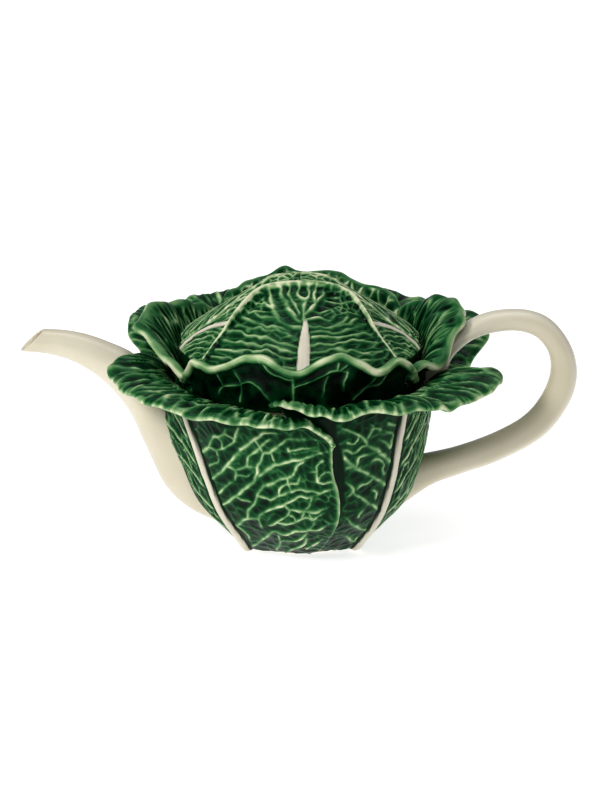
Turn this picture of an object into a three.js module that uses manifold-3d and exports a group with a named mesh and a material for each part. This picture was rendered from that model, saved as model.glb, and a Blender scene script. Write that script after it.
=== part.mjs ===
// A glazed earthenware teapot in the shape of a savoy cabbage, with a lift-off lid.
// Millimetres, +Z up. The origin is the middle of the foot, +X the handle's side, -Y the front.
// The pot is a round bowl with a foot, a lid seat, a spout, a handle and four outer leaves.
// The lid is a dome with a locating flange, four inner leaves round its edge and the cabbage's
// heart on top. Azimuths are in degrees from +X, counter-clockwise seen from above.

import * as THREE from 'three';
import Module from 'manifold-3d';
import { mergeVertices } from 'three/addons/utils/BufferGeometryUtils.js';

const wasm = await Module();
wasm.setup();

// ---- Driving dimensions ----

const GAP = 0.3;
const LEAF_THICKNESS = 3;
const BOWL_WALL = 4.5;

// Outside of the leaf-covered wall as [radius, height], from the foot to the shoulder.
const WALL_OUTLINE = [[34, 1.2], [45, 8], [67, 30], [77, 56], [82, 84], [84, 104]];
const BOWL_BOTTOM = 4.3;
const BOWL_FLOOR = 9;
const BOWL_RIM = 104;
const FOOT = { inner: 23, outer: 31.3, height: 4 };

const SEAT = { inner: 66, outer: 74.6, bottom: 99, top: 103.6 };
const SKIRT = { inner: 60.5, outer: 64.5, bottom: 91 };
const FLANGE = { outer: 75, bottom: 104.6, top: 107.6 };
const LID_WAY = { radius: 81.5, from: 90, to: 150 };   // kept free for the lid to lift through

const DOME_RADIUS = 75;
const DOME_TOP = 166.5;
const DOME_SHELL = 4;
const DOME_DROP = 16.5;        // how far the dome falls over its first DOME_DROP_RADIUS
const DOME_DROP_RADIUS = 45;
const DOME_POWER = 1.6;
const DOME_RINGS = [0, 16, 32, 46, 59];

// Ruffled rim of the outer leaves: [azimuth, radius, height] at its lobes and notches.
const OUTER_RIM = [
  [0, 104, 112], [18, 124, 120], [45, 120, 126], [68, 112, 131],
  [90, 104, 122], [112, 108, 130], [135, 117, 128], [160, 117, 128],
  [180, 106, 117], [200, 127, 122], [225, 122, 112], [248, 110, 107],
  [270, 105, 108], [292, 109, 110], [315, 121, 110], [340, 129, 121],
];

// Ruffled rim of the lid's leaves, the same way.
const LID_RIM = [
  [0, 104, 146.5], [15, 95, 151], [30, 90, 143], [48, 83, 129],
  [70, 81, 150], [90, 80, 155], [108, 80, 155], [126, 84, 131],
  [152, 87, 146], [168, 97, 147], [180, 103, 141], [195, 97, 137],
  [210, 86, 123], [222, 86, 134], [232, 85, 130], [245, 85, 144],
  [257, 84, 142], [270, 83, 135], [283, 84, 142], [295, 84, 144],
  [308, 84, 137], [319, 85, 138], [330, 83.5, 124], [342, 92, 128],
];
const LID_LEAF_FOOT = { radius: 79, height: 105.4 };

const OUTER_LEAVES = [
  { name: 'back_right_leaf', from: 0, to: 90 },
  { name: 'back_left_leaf', from: 90, to: 180 },
  { name: 'front_left_leaf', from: 180, to: 270 },
  { name: 'front_right_leaf', from: 270, to: 360 },
];

// rise says how high a lid leaf stands straight up before it flares out to its rim.
const LID_LEAVES = [
  { name: 'lid_right_leaf', from: -30, to: 48, rise: 0.92 },
  { name: 'lid_back_leaf', from: 48, to: 126, rise: 0.6 },
  { name: 'lid_left_leaf', from: 126, to: 210, rise: 0.55 },
  { name: 'lid_front_leaf', from: 210, to: 330, rise: 0.6 },
];

// Rims of the heart's front and back leaves in plan, from left to right.
const HEART_THICKNESS = 3;
const HEART_RADIUS = 73;
const HEART_FRONT_RIM = [
  [-61, -46], [-46.5, -31], [-36.5, -19], [-24, -9], [0, -6],
  [24, -9], [38, -18], [48, -31], [61, -46],
];
const HEART_BACK_RIM = [
  [-78, 34], [-48, 17], [-31, 12], [-16, 13.5], [0, 14],
  [16, 13.5], [31, 12], [48, 17], [78, 34],
];
const HEART_BEAD_RADIUS = 2;
const HEART_BEAD_RISE = 1.2;
const SEAM = 0.55;             // gap between two leaves of the heart
const PLAN_REACH = 90;

// The spout and handle each run between two rails in the XZ plane, as [x, z].
const SPOUT = {
  lower: [[-50, 18], [-70, 23], [-87, 37], [-100, 60], [-112, 90], [-126, 107], [-142, 117.5],
    [-158, 122.5], [-175, 124]],
  upper: [[-56, 98], [-70, 98], [-82, 99], [-92, 107], [-105, 121], [-121, 128], [-135, 134],
    [-148, 137], [-160, 138]],
  halfWidths: [25, 24, 21.5, 19, 16, 12, 10, 8.7, 8],
  wall: 3,
};
const STRAINER = { hole: 6, ring: 12, height: 62, count: 6, reach: 75, drill: 40 };

const HANDLE = {
  lower: [[84, 88], [91, 105], [96, 120], [108, 131.5], [122, 136.5], [137, 137.5], [149, 133],
    [156.5, 122], [157, 108], [151, 93], [140, 80], [122, 69.5], [100, 61], [82, 56.5], [70, 55]],
  upper: [[66, 106], [80, 119], [91, 131.5], [105, 143], [122, 150.5], [143, 151.5], [159, 143],
    [171, 126], [175, 107], [170, 87], [155, 65.5], [127, 50.5], [101, 42.5], [84, 36], [70, 29]],
  halfWidths: [11, 10, 9, 8.5, 8, 7.5, 7.5, 8, 8, 8, 8.5, 9, 9.5, 11, 13],
};

const GREEN = { color: 0x1f5a36, roughness: 0.12, metalness: 0 };
const CREAM = { color: 0xddd5be, roughness: 0.2, metalness: 0 };
const CLAY = { color: 0xe6ddcb, roughness: 0.8, metalness: 0 };

// ---- Closed bodies ----

function signedVolume(geometry) {
  const position = geometry.attributes.position;
  const index = geometry.index;
  const corner = [new THREE.Vector3(), new THREE.Vector3(), new THREE.Vector3()];
  let volume = 0;
  for (let i = 0; i < index.count; i += 3) {
    corner.forEach((point, k) => point.fromBufferAttribute(position, index.getX(i + k)));
    volume += corner[0].dot(corner[1].clone().cross(corner[2])) / 6;
  }
  return volume;
}

// Keeps only positions, merges shared vertices and turns the faces outwards.
function closed(geometry) {
  const bare = geometry.clone();
  bare.deleteAttribute('normal');
  bare.deleteAttribute('uv');
  const merged = mergeVertices(bare, 1e-4);
  if (signedVolume(merged) < 0) {
    const index = merged.index;
    for (let i = 0; i < index.count; i += 3) {
      const first = index.getX(i);
      index.setX(i, index.getX(i + 1));
      index.setX(i + 1, first);
    }
  }
  return merged;
}

function solid(geometry) {
  const body = closed(geometry);
  return new wasm.Manifold(new wasm.Mesh({
    numProp: 3,
    vertProperties: new Float32Array(body.attributes.position.array),
    triVerts: new Uint32Array(body.index.array),
  }));
}

function geometryOf(manifold) {
  const mesh = manifold.getMesh();
  const geometry = new THREE.BufferGeometry();
  geometry.setAttribute('position', new THREE.BufferAttribute(mesh.vertProperties, 3));
  geometry.setIndex(new THREE.BufferAttribute(mesh.triVerts, 1));
  return geometry;
}

function indexed(points, faces) {
  const geometry = new THREE.BufferGeometry();
  geometry.setFromPoints(points);
  geometry.setIndex(faces);
  return geometry;
}

const ROUND = 44;

// A body turned about Z from a closed [radius, height] section.
function turned(section) {
  const outline = [...section, section[0]].map(([radius, height]) => (
    new THREE.Vector2(radius, height)
  ));
  return new THREE.LatheGeometry(outline, ROUND).rotateX(Math.PI / 2);
}

function ring(inner, outer, bottom, top) {
  return turned([[inner, bottom], [outer, bottom], [outer, top], [inner, top]]);
}

// A curved plate between two faces; each face gives a point for s and t from 0 to 1.
function plate(faces, across, along) {
  const row = across + 1;
  const layer = row * (along + 1);
  const points = [];
  const triangles = [];
  const quad = (a, b, c, d) => triangles.push(a, b, c, a, c, d);
  const at = (face, i, j) => face * layer + j * row + i;
  for (const face of faces) {
    for (let j = 0; j <= along; j += 1) {
      for (let i = 0; i <= across; i += 1) points.push(face(i / across, j / along));
    }
  }
  for (let j = 0; j < along; j += 1) {
    for (let i = 0; i < across; i += 1) {
      quad(at(0, i, j), at(0, i + 1, j), at(0, i + 1, j + 1), at(0, i, j + 1));
      quad(at(1, i, j), at(1, i, j + 1), at(1, i + 1, j + 1), at(1, i + 1, j));
    }
    quad(at(0, 0, j), at(0, 0, j + 1), at(1, 0, j + 1), at(1, 0, j));
    quad(at(0, across, j), at(1, across, j), at(1, across, j + 1), at(0, across, j + 1));
  }
  for (let i = 0; i < across; i += 1) {
    quad(at(0, i, 0), at(1, i, 0), at(1, i + 1, 0), at(0, i + 1, 0));
    quad(at(0, i, along), at(0, i + 1, along), at(1, i + 1, along), at(1, i, along));
  }
  return indexed(points, triangles);
}

const spline = (points) => new THREE.SplineCurve(points.map(([x, y]) => new THREE.Vector2(x, y)));

// A tube of oval section between two rails in the XZ plane, shrunk all round by inset.
function railed({ lower, upper, halfWidths }, inset, stations, sides) {
  const low = spline(lower);
  const high = spline(upper);
  const wide = spline(halfWidths.map((half, i) => [i, half]));
  const points = [];
  const triangles = [];
  for (let j = 0; j <= stations; j += 1) {
    const a = low.getPoint(j / stations);
    const b = high.getPoint(j / stations);
    const middle = a.clone().add(b).multiplyScalar(0.5);
    const half = b.clone().sub(a).multiplyScalar(0.5);
    half.setLength(half.length() - inset);
    const width = wide.getPoint(j / stations).y - inset;
    for (let i = 0; i < sides; i += 1) {
      const turn = (2 * Math.PI * i) / sides;
      const up = Math.cos(turn);
      points.push(new THREE.Vector3(
        middle.x + half.x * up, width * Math.sin(turn), middle.y + half.y * up,
      ));
    }
  }
  const at = (i, j) => j * sides + (i % sides);
  for (let i = 0; i < sides; i += 1) {
    for (let j = 0; j < stations; j += 1) {
      triangles.push(at(i, j), at(i + 1, j), at(i + 1, j + 1));
      triangles.push(at(i, j), at(i + 1, j + 1), at(i, j + 1));
    }
  }
  for (let i = 1; i < sides - 1; i += 1) {
    triangles.push(at(0, 0), at(i + 1, 0), at(i, 0));
    triangles.push(at(0, stations), at(i, stations), at(i + 1, stations));
  }
  return indexed(points, triangles);
}

// ---- Shapes shared by several pieces ----

const TALL = 120;              // reaches past every piece, for cutting tools

// A profile's point at a depth below its outside, measured square to the profile.
function below(curve, t, depth) {
  const point = curve.getPoint(t);
  const tangent = curve.getTangent(t);
  return [point.x - tangent.y * depth, point.y + tangent.x * depth];
}

const wall = spline(WALL_OUTLINE);

const polar = (azimuth, radius, height) => new THREE.Vector3(
  radius * Math.cos(THREE.MathUtils.degToRad(azimuth)),
  radius * Math.sin(THREE.MathUtils.degToRad(azimuth)),
  height,
);

// Rim radius and height at an azimuth, eased between the neighbouring entries of a rim table.
function rimAt(table, azimuth) {
  const angle = THREE.MathUtils.euclideanModulo(azimuth, 360);
  const next = table.findIndex((entry) => entry[0] > angle);
  const after = next === -1 ? [360, table[0][1], table[0][2]] : table[next];
  const before = table[(next === -1 ? table.length : next) - 1];
  const ease = THREE.MathUtils.smoothstep(angle, before[0], after[0]);
  return [1, 2].map((k) => THREE.MathUtils.lerp(before[k], after[k], ease));
}

const domeHeight = (radius) => DOME_TOP - DOME_DROP * (radius / DOME_DROP_RADIUS) ** DOME_POWER;

const WALL_SHARE = 0.6;        // part of an outer leaf that lies on the wall, the rest is its lip

function outerLeafPoint(azimuth, t, depth) {
  if (t <= WALL_SHARE) return polar(azimuth, ...below(wall, t / WALL_SHARE, depth));
  const [radius, height] = rimAt(OUTER_RIM, azimuth);
  const [shoulder, top] = WALL_OUTLINE.at(-1);
  const lip = new THREE.QuadraticBezierCurve(
    new THREE.Vector2(shoulder, top),
    new THREE.Vector2(shoulder + 2.5, Math.max(height, top + 9) + 1),
    new THREE.Vector2(radius, height),
  );
  return polar(azimuth, ...below(lip, (t - WALL_SHARE) / (1 - WALL_SHARE), depth));
}

function lidLeafPoint(azimuth, t, depth, rise) {
  const [radius, height] = rimAt(LID_RIM, azimuth);
  const foot = LID_LEAF_FOOT;
  const curve = new THREE.QuadraticBezierCurve(
    new THREE.Vector2(foot.radius, foot.height),
    new THREE.Vector2(foot.radius + 1, THREE.MathUtils.lerp(foot.height, height, rise)),
    new THREE.Vector2(radius, height),
  );
  return polar(azimuth, ...below(curve, t, depth));
}

// ---- The pot ----

const WALL_STEPS = 8;

function wallSection(depth) {
  return Array.from({ length: WALL_STEPS + 1 }, (_, i) => below(wall, i / WALL_STEPS, depth));
}

function bowlCore() {
  const outside = wallSection(LEAF_THICKNESS + GAP).filter(([, height]) => height > BOWL_BOTTOM);
  const bottom = BOWL_BOTTOM - 1;
  const brim = outside.at(-1)[0];
  return solid(turned([[0, bottom], [FOOT.outer, bottom], ...outside, [brim, TALL], [0, TALL]]));
}

function bowl() {
  const depth = LEAF_THICKNESS + 2 * GAP;
  const outside = wallSection(depth).filter(([, height]) => height > BOWL_BOTTOM);
  const inside = wallSection(depth + BOWL_WALL).filter(([, height]) => height > BOWL_FLOOR + 1);
  const section = [
    [0, BOWL_BOTTOM], [FOOT.outer, BOWL_BOTTOM], ...outside.slice(0, -1),
    [outside.at(-1)[0], BOWL_RIM], [inside.at(-1)[0], BOWL_RIM],
    ...inside.slice(0, -1).reverse(), [inside[0][0] - 4, BOWL_FLOOR], [0, BOWL_FLOOR],
  ];
  let body = solid(turned(section));
  for (let i = 0; i <= STRAINER.count; i += 1) {
    const turn = (2 * Math.PI * i) / STRAINER.count;
    const out = i === STRAINER.count ? 0 : STRAINER.ring;
    const radius = STRAINER.hole / 2;
    const drill = new THREE.CylinderGeometry(radius, radius, STRAINER.drill, 12)
      .rotateZ(Math.PI / 2)
      .translate(-STRAINER.reach, out * Math.cos(turn), STRAINER.height + out * Math.sin(turn));
    body = body.subtract(solid(drill));
  }
  return geometryOf(body);
}

const SPOUT_STATIONS = 13;
const HANDLE_STATIONS = 24;
const TUBE_SIDES = 12;

// The bore runs on past the mouth so that it opens cleanly.
function spout(core) {
  const past = ([x, z]) => [x - 4, z];
  const bore = {
    lower: [...SPOUT.lower, past(SPOUT.lower.at(-1))],
    upper: [...SPOUT.upper, past(SPOUT.upper.at(-1))],
    halfWidths: [...SPOUT.halfWidths, SPOUT.halfWidths.at(-1)],
  };
  const shell = solid(railed(SPOUT, 0, SPOUT_STATIONS, TUBE_SIDES));
  const inside = solid(railed(bore, SPOUT.wall, SPOUT_STATIONS, TUBE_SIDES));
  return shell.subtract(core).subtract(inside);
}

// The handle stays outside the cylinder that the lid lifts through.
function handle(core) {
  const { radius, from, to } = LID_WAY;
  const way = solid(turned([[0, from], [radius, from], [radius, to], [0, to]]));
  return solid(railed(HANDLE, 0, HANDLE_STATIONS, TUBE_SIDES)).subtract(core).subtract(way);
}

const EDGE_GAP = 0.35;         // degrees left free at each side of a leaf
const LEAF_GRID = { across: 14, along: 13 };
const LID_LEAF_GRID = { across: 16, along: 5 };

function outerLeaf({ from, to }, cutters) {
  const azimuth = (s) => THREE.MathUtils.lerp(from + EDGE_GAP, to - EDGE_GAP, s);
  const faces = [0, LEAF_THICKNESS].map((depth) => (s, t) => outerLeafPoint(azimuth(s), t, depth));
  let body = solid(plate(faces, LEAF_GRID.across, LEAF_GRID.along));
  for (const cutter of cutters) body = body.subtract(cutter);
  return geometryOf(body);
}

// ---- The lid ----

function domeSection(rise, radii) {
  return radii.map((radius) => [radius, domeHeight(radius) + rise]);
}

function dome() {
  const bottom = FLANGE.top + GAP;
  const inner = DOME_RADIUS - DOME_SHELL;
  return turned([
    ...domeSection(0, [...DOME_RINGS, 68, DOME_RADIUS]),
    [DOME_RADIUS, bottom], [inner, bottom],
    ...domeSection(-DOME_SHELL, [...DOME_RINGS, inner - 3]).reverse(),
  ]);
}

function lidLeaf({ from, to, rise }) {
  const azimuth = (s) => THREE.MathUtils.lerp(from + EDGE_GAP, to - EDGE_GAP, s);
  const faces = [0, LEAF_THICKNESS].map((depth) => (s, t) => (
    lidLeafPoint(azimuth(s), t, depth, rise)
  ));
  return plate(faces, LID_LEAF_GRID.across, LID_LEAF_GRID.along);
}

// The heart's leaves are cut from one cap that lies on the dome.
function heartCap() {
  const radii = [...DOME_RINGS, HEART_RADIUS];
  return solid(turned([
    ...domeSection(GAP + HEART_THICKNESS, radii), ...domeSection(GAP, radii).reverse(),
  ]));
}

// A tall prism over a closed outline in plan.
function prism(outline) {
  const shape = new THREE.Shape(outline.map(([x, y]) => new THREE.Vector2(x, y)));
  const block = new THREE.ExtrudeGeometry(shape, { depth: TALL, bevelEnabled: false });
  return solid(block.translate(0, 0, FLANGE.bottom));
}

// The plan on one side of a heart rim, out past the dome: side is -1 for the front, 1 the back.
function beyond(rim, side, shift) {
  const far = side * PLAN_REACH;
  const last = rim.at(-1)[0] + Math.abs(shift);
  return prism([...rim.map(([x, y]) => [x, y - side * shift]), [last, far], [-last, far]]);
}

// The roll along the front leaf's rim is the grip that the lid is lifted by.
function heartRoll() {
  const path = new THREE.CatmullRomCurve3(HEART_FRONT_RIM.slice(1, -1).map(([x, y]) => (
    new THREE.Vector3(
      x, y - HEART_BEAD_RADIUS, domeHeight(Math.hypot(x, y)) + HEART_THICKNESS + HEART_BEAD_RISE,
    )
  )));
  const section = new THREE.Shape().absarc(0, 0, HEART_BEAD_RADIUS, 0, 2 * Math.PI);
  return new THREE.ExtrudeGeometry(section, { extrudePath: path, steps: 12, curveSegments: 3 });
}

function heartLeaves() {
  const cap = heartCap();
  const front = beyond(HEART_FRONT_RIM, -1, 0);
  const back = beyond(HEART_BACK_RIM, 1, 0);
  const sides = cap
    .subtract(beyond(HEART_FRONT_RIM, -1, SEAM))
    .subtract(beyond(HEART_BACK_RIM, 1, SEAM));
  const half = (sign) => {
    const [near, far] = [sign * SEAM / 2, sign * PLAN_REACH];
    return prism([[near, -PLAN_REACH], [far, -PLAN_REACH], [far, PLAN_REACH], [near, PLAN_REACH]]);
  };
  return {
    heart_front_leaf: geometryOf(cap.intersect(front).add(solid(heartRoll()))),
    heart_back_leaf: geometryOf(cap.intersect(back)),
    heart_left_wrap: geometryOf(sides.intersect(half(-1))),
    heart_right_wrap: geometryOf(sides.intersect(half(1))),
  };
}

// ---- Assembly ----

const pot = new THREE.Group();
const lid = new THREE.Group();

function add(group, name, geometry, finish) {
  const body = closed(geometry);
  body.computeVertexNormals();
  const mesh = new THREE.Mesh(body, new THREE.MeshStandardMaterial(finish));
  mesh.name = name;
  group.add(mesh);
}

const core = bowlCore();
const spoutSolid = spout(core);
const handleSolid = handle(core);
const clearances = [
  solid(railed(SPOUT, -GAP, SPOUT_STATIONS, TUBE_SIDES)),
  solid(railed(HANDLE, -GAP, HANDLE_STATIONS, TUBE_SIDES)),
];

add(pot, 'bowl', bowl(), CREAM);
add(pot, 'foot_ring', ring(FOOT.inner, FOOT.outer, 0, FOOT.height), CLAY);
add(pot, 'lid_seat', ring(SEAT.inner, SEAT.outer, SEAT.bottom, SEAT.top), CREAM);
add(pot, 'spout', geometryOf(spoutSolid), CREAM);
add(pot, 'handle', geometryOf(handleSolid), CREAM);
for (const leaf of OUTER_LEAVES) add(pot, leaf.name, outerLeaf(leaf, clearances), GREEN);

add(lid, 'lid_dome', dome(), GREEN);
add(lid, 'lid_flange', ring(SKIRT.inner, FLANGE.outer, FLANGE.bottom, FLANGE.top), CREAM);
add(lid, 'lid_skirt', ring(SKIRT.inner, SKIRT.outer, SKIRT.bottom, FLANGE.bottom - GAP), CREAM);
for (const leaf of LID_LEAVES) add(lid, leaf.name, lidLeaf(leaf), GREEN);
for (const [name, geometry] of Object.entries(heartLeaves())) add(lid, name, geometry, GREEN);

const teapot = new THREE.Group();
teapot.add(pot, lid);

export default teapot;
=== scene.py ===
# Looks of the cabbage-leaf teapot. Every CAD node is replaced by a finer mesh of the same
# shape, with the leaves' veins and blisters in the mesh. Two attributes carry the glaze:
# "glaze" runs from 0, pooled and nearly black, to 1, thin and pale, and "cream" is 1 where the
# green glaze was wiped off. In a few places "glaze" also carries painted shade: shadows beside
# the veins, under rolled rims and beside an overlapping leaf, and part of the darkness of the
# lid's front leaf and of the handle's inner side. Shapes are worked out in millimetres and
# built in metres, and the light and camera are placed in metres.
import math

import bpy
import numpy as np
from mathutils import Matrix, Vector


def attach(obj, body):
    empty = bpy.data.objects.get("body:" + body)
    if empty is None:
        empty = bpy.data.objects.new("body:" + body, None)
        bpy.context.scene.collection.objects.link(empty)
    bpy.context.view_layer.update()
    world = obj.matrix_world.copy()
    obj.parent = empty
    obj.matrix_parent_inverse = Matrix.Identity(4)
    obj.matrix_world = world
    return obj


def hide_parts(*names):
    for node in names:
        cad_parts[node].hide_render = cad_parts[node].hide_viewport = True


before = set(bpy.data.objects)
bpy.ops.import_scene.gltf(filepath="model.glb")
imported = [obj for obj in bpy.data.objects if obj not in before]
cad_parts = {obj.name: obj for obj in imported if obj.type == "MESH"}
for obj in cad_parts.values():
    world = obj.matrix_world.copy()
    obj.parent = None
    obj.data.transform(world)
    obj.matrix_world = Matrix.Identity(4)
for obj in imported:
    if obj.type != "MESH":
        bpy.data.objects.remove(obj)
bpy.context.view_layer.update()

MM = 0.001

# ---- Driving dimensions, as in the CAD ----

# The bowl's outside, as radius and height from the foot to the shoulder.
WALL = [(34, 1.2), (45, 8), (67, 30), (77, 56), (82, 84), (84, 104)]
WALL_RADIUS = 84
WALL_TOP = 104
LEAF = 3.0                      # thickness of a leaf

DOME_TOP = 166.5
DOME_DROP = 16.5                # how far the dome falls to DOME_DROP_RADIUS
DOME_DROP_RADIUS = 45
DOME_POWER = 1.6

# The lower and upper edge of the spout and of the handle in the XZ plane, with half the width
# across Y on the way.
SPOUT_LOWER = [(-50, 13), (-69, 22), (-85, 37), (-97.5, 63), (-108, 85.5), (-123, 104),
               (-140, 116), (-157, 122), (-175, 124)]
SPOUT_UPPER = [(-56, 98), (-70, 98), (-82, 99), (-92, 107.5), (-105, 121.8), (-121, 129.8),
               (-135, 134.8), (-148, 137.3), (-160, 138)]
SPOUT_WIDTHS = [25, 24, 21.5, 19, 16, 12, 10, 8.7, 8]
SPOUT_WALL = 2.1

HANDLE_LOWER = [(84, 88), (91, 105), (96, 120), (108, 131.5), (122, 136.5), (137, 137.5),
                (149, 133), (156.5, 122), (157, 108), (151, 93), (140, 80), (122, 69.5),
                (100, 61), (82, 56.5), (66, 54)]
HANDLE_UPPER = [(66, 106), (80, 119), (91, 131.5), (105, 143), (122, 149.8), (143, 150.3),
                (159, 143), (171, 126), (174.3, 107), (168.5, 88), (153, 68), (126, 52.5),
                (101, 43.5), (82, 36), (60, 20)]
HANDLE_WIDTHS = [11, 10, 9, 8.5, 8, 7.5, 7.5, 8, 8, 8, 8.5, 9, 9.5, 11, 13]

CAMERA_RISE = math.radians(17)  # the camera looks down by this much
CAMERA_AIM = (0.0, 0.0, 0.0916)
CAMERA_DISTANCE = 5.0
VIEW_WIDTH = 0.378              # what the camera sees across, at the distance of its aim


FAR = 99.0                      # further than any cell or twig
NO_VEIN = 9.0                   # further from a vein than the middle of any cell
LOOSE = 0.85                    # how irregular the leaves' cells are, from 0 to 1


# ---- Curves and repeatable noise ----

def smooth(low, high, x):
    t = np.clip((x - low) / (high - low), 0, 1)
    return t * t * (3 - 2 * t)


def mix(a, b, t):
    return a + (b - a) * t


def bump(x, width):
    return np.exp(-(x / width) ** 2)


def arch(start, pull, end, w):
    """A curve from start to end that leans towards pull on its way."""
    return (1 - w) ** 2 * start + 2 * w * (1 - w) * pull + w ** 2 * end


def rib_shape(side, half):
    """A rounded rib: 1 on its middle, and 0 a little past half its width."""
    return np.clip(1.15 - (side / half) ** 2, 0, 1)


def along(points, t):
    """Places on a smooth curve through the points, for t from 0 to 1."""
    points = np.asarray(points, float)
    last = len(points) - 1
    place = np.clip(np.asarray(t, float), 0, 1) * last
    i = np.minimum(place.astype(int), last - 1)
    w = place - i
    if points.ndim > 1:
        w = w[..., None]
    a, b = points[np.maximum(i - 1, 0)], points[i]
    c, d = points[i + 1], points[np.minimum(i + 2, last)]
    return 0.5 * (2 * b + (c - a) * w + (2 * a - 5 * b + 4 * c - d) * w ** 2
                  + (3 * b - a - 3 * c + d) * w ** 3)


def row_at(table, place):
    """The columns of a table after its first one, at places along that first one."""
    table = np.asarray(table, float)
    share = np.interp(place, table[:, 0], np.linspace(0, 1, len(table)))
    return np.moveaxis(along(table[:, 1:], share), -1, 0)


def dice(i, j, seed):
    """A repeatable number from 0 to 1 for each whole-numbered place."""
    n = (i * 374761393 + j * 668265263 + seed * 362437) & 0x7FFFFFFF
    n = ((n ^ (n >> 13)) * 1274126177) & 0x7FFFFFFF
    n = ((n ^ (n >> 15)) * 461845907) & 0x7FFFFFFF
    return ((n ^ (n >> 16)) & 0xFFFF) / 65535.0


def noise(x, y, seed):
    """Smooth noise from -1 to 1, with bumps about one unit apart."""
    x, y = np.broadcast_arrays(x, y)
    i, j = np.floor(x).astype(np.int64), np.floor(y).astype(np.int64)
    u, v = x - i, y - j
    u, v = u * u * (3 - 2 * u), v * v * (3 - 2 * v)
    low = mix(dice(i, j, seed), dice(i + 1, j, seed), u)
    high = mix(dice(i, j + 1, seed), dice(i + 1, j + 1, seed), u)
    return 2 * mix(low, high, v) - 1


def wave(x, seed):
    """Smooth noise along a line."""
    return noise(x, 0 * x, seed)


def rough(x, y, seed, octaves=3):
    return sum(noise(x * 2 ** k, y * 2 ** k, seed + k) / 2 ** k for k in range(octaves))


def net(p, q, seed, loose, band):
    """A net of irregular cells about one unit across. Gives the distance to the nearest
    thin vein, and to the nearest main vein, which parts every band rows of cells."""
    i, j = np.floor(p).astype(np.int64), np.floor(q).astype(np.int64)

    def cell(di, dj):
        a, b = i + di, j + dj
        return (a + 0.5 + loose * (dice(a, b, seed) - 0.5),
                b + 0.5 + loose * (dice(a, b, seed + 7) - 0.5), b // band)

    near = np.full(p.shape, FAR)
    own_p, own_q, own_row = np.zeros(p.shape), np.zeros(p.shape), np.zeros(p.shape)
    for di in (-1, 0, 1):
        for dj in (-1, 0, 1):
            cp, cq, row = cell(di, dj)
            d = (p - cp) ** 2 + (q - cq) ** 2
            closer = d < near
            near = np.where(closer, d, near)
            own_p, own_q = np.where(closer, cp, own_p), np.where(closer, cq, own_q)
            own_row = np.where(closer, row, own_row)
    thin, main = np.full(p.shape, NO_VEIN), np.full(p.shape, NO_VEIN)
    for di in (-2, -1, 0, 1, 2):
        for dj in (-2, -1, 0, 1, 2):
            cp, cq, row = cell(di, dj)
            gap = np.hypot(cp - own_p, cq - own_q)
            d = ((p - cp) ** 2 + (q - cq) ** 2 - near) / (2 * np.maximum(gap, 1e-6))
            d = np.where(gap < 1e-6, NO_VEIN, d)
            thin = np.where(row == own_row, np.minimum(thin, d), thin)
            main = np.where(row != own_row, np.minimum(main, d), main)
    return thin, main


def near_paths(x, y, paths, reach=5.0):
    """How strongly each point is on one of the veins. A path is its width at the start and at
    the end, and the points that its smooth curve runs through. Gives the sharp core and the
    soft halo."""
    core, halo = np.zeros(x.shape), np.zeros(x.shape)
    for first, last, points in paths:
        count = 3 * len(points) - 3
        curve = along(points, np.linspace(0, 1, count + 1))
        for k, (a, b) in enumerate(zip(curve, curve[1:])):
            low, high = np.minimum(a, b) - reach, np.maximum(a, b) + reach
            near = (x > low[0]) & (x < high[0]) & (y > low[1]) & (y < high[1])
            u, v = x[near] - a[0], y[near] - a[1]
            dx, dy = b - a
            w = np.clip((u * dx + v * dy) / (dx * dx + dy * dy), 0, 1)
            d = np.hypot(u - w * dx, v - w * dy)
            place = (k + w) / count
            width = mix(first, last, place) / 2
            strength = 1 - 0.55 * smooth(0.7, 1, place)
            core[near] = np.maximum(core[near], strength * bump(d, width + 0.45))
            halo[near] = np.maximum(halo[near], strength * bump(d, width * 1.8 + 1.8))
    return core, halo


# ---- Grids, sheets and meshes ----

RIM_ZONE = 3.0                  # a leaf's rows lie closer together this near to its rim
RIM_ROWS = 7
EDGE_ROUND = 1.6                # the leaves' edges are rounded over this much
FOOT_ROUND = 2.5
RIM_GLAZE = 0.36                # the even tone that the glaze comes to at a rim


def lengths(grid, axis):
    """Distance along the rows or columns of a grid of points, from its first one."""
    step = np.linalg.norm(np.diff(grid, axis=axis), axis=2)
    start = np.zeros_like(step[:1] if axis == 0 else step[:, :1])
    return np.cumsum(np.concatenate([start, step], axis=axis), axis=axis)


def normals(grid):
    across = np.gradient(grid, axis=1)
    up = np.gradient(grid, axis=0)
    n = np.cross(across, up)
    return n / np.maximum(np.linalg.norm(n, axis=2, keepdims=True), 1e-9)


def blur(field, reach):
    for axis in (0, 1, 0, 1):
        pad = [(0, 0), (0, 0)]
        pad[axis] = (reach + 1, reach)
        total = np.cumsum(np.pad(field, pad, mode="edge"), axis=axis)
        high = np.take(total, range(2 * reach + 1, total.shape[axis]), axis=axis)
        low = np.take(total, range(0, total.shape[axis] - 2 * reach - 1), axis=axis)
        field = (high - low) / (2 * reach + 1)
    return field


def add(name, data):
    """A new object in the scene."""
    thing = bpy.data.objects.new(name, data)
    bpy.context.scene.collection.objects.link(thing)
    return thing


def piece(name, points, faces, fields, nodes, body, slot):
    """A mesh that rides on a body and stands for CAD nodes. Points are in millimetres."""
    mesh = bpy.data.meshes.new(name)
    mesh.from_pydata((np.asarray(points, float) * MM).tolist(), [], faces)
    for field, values in fields.items():
        layer = mesh.attributes.new(field, "FLOAT", "POINT")
        layer.data.foreach_set("value", np.clip(values, 0, 1).astype(np.float32).ravel())
    mesh.polygons.foreach_set("use_smooth", [True] * len(mesh.polygons))
    mesh.materials.append(FINISHES[slot])
    mesh.validate()
    mesh.update()
    thing = add(name, mesh)
    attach(thing, body)
    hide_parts(*nodes)
    return thing


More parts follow.
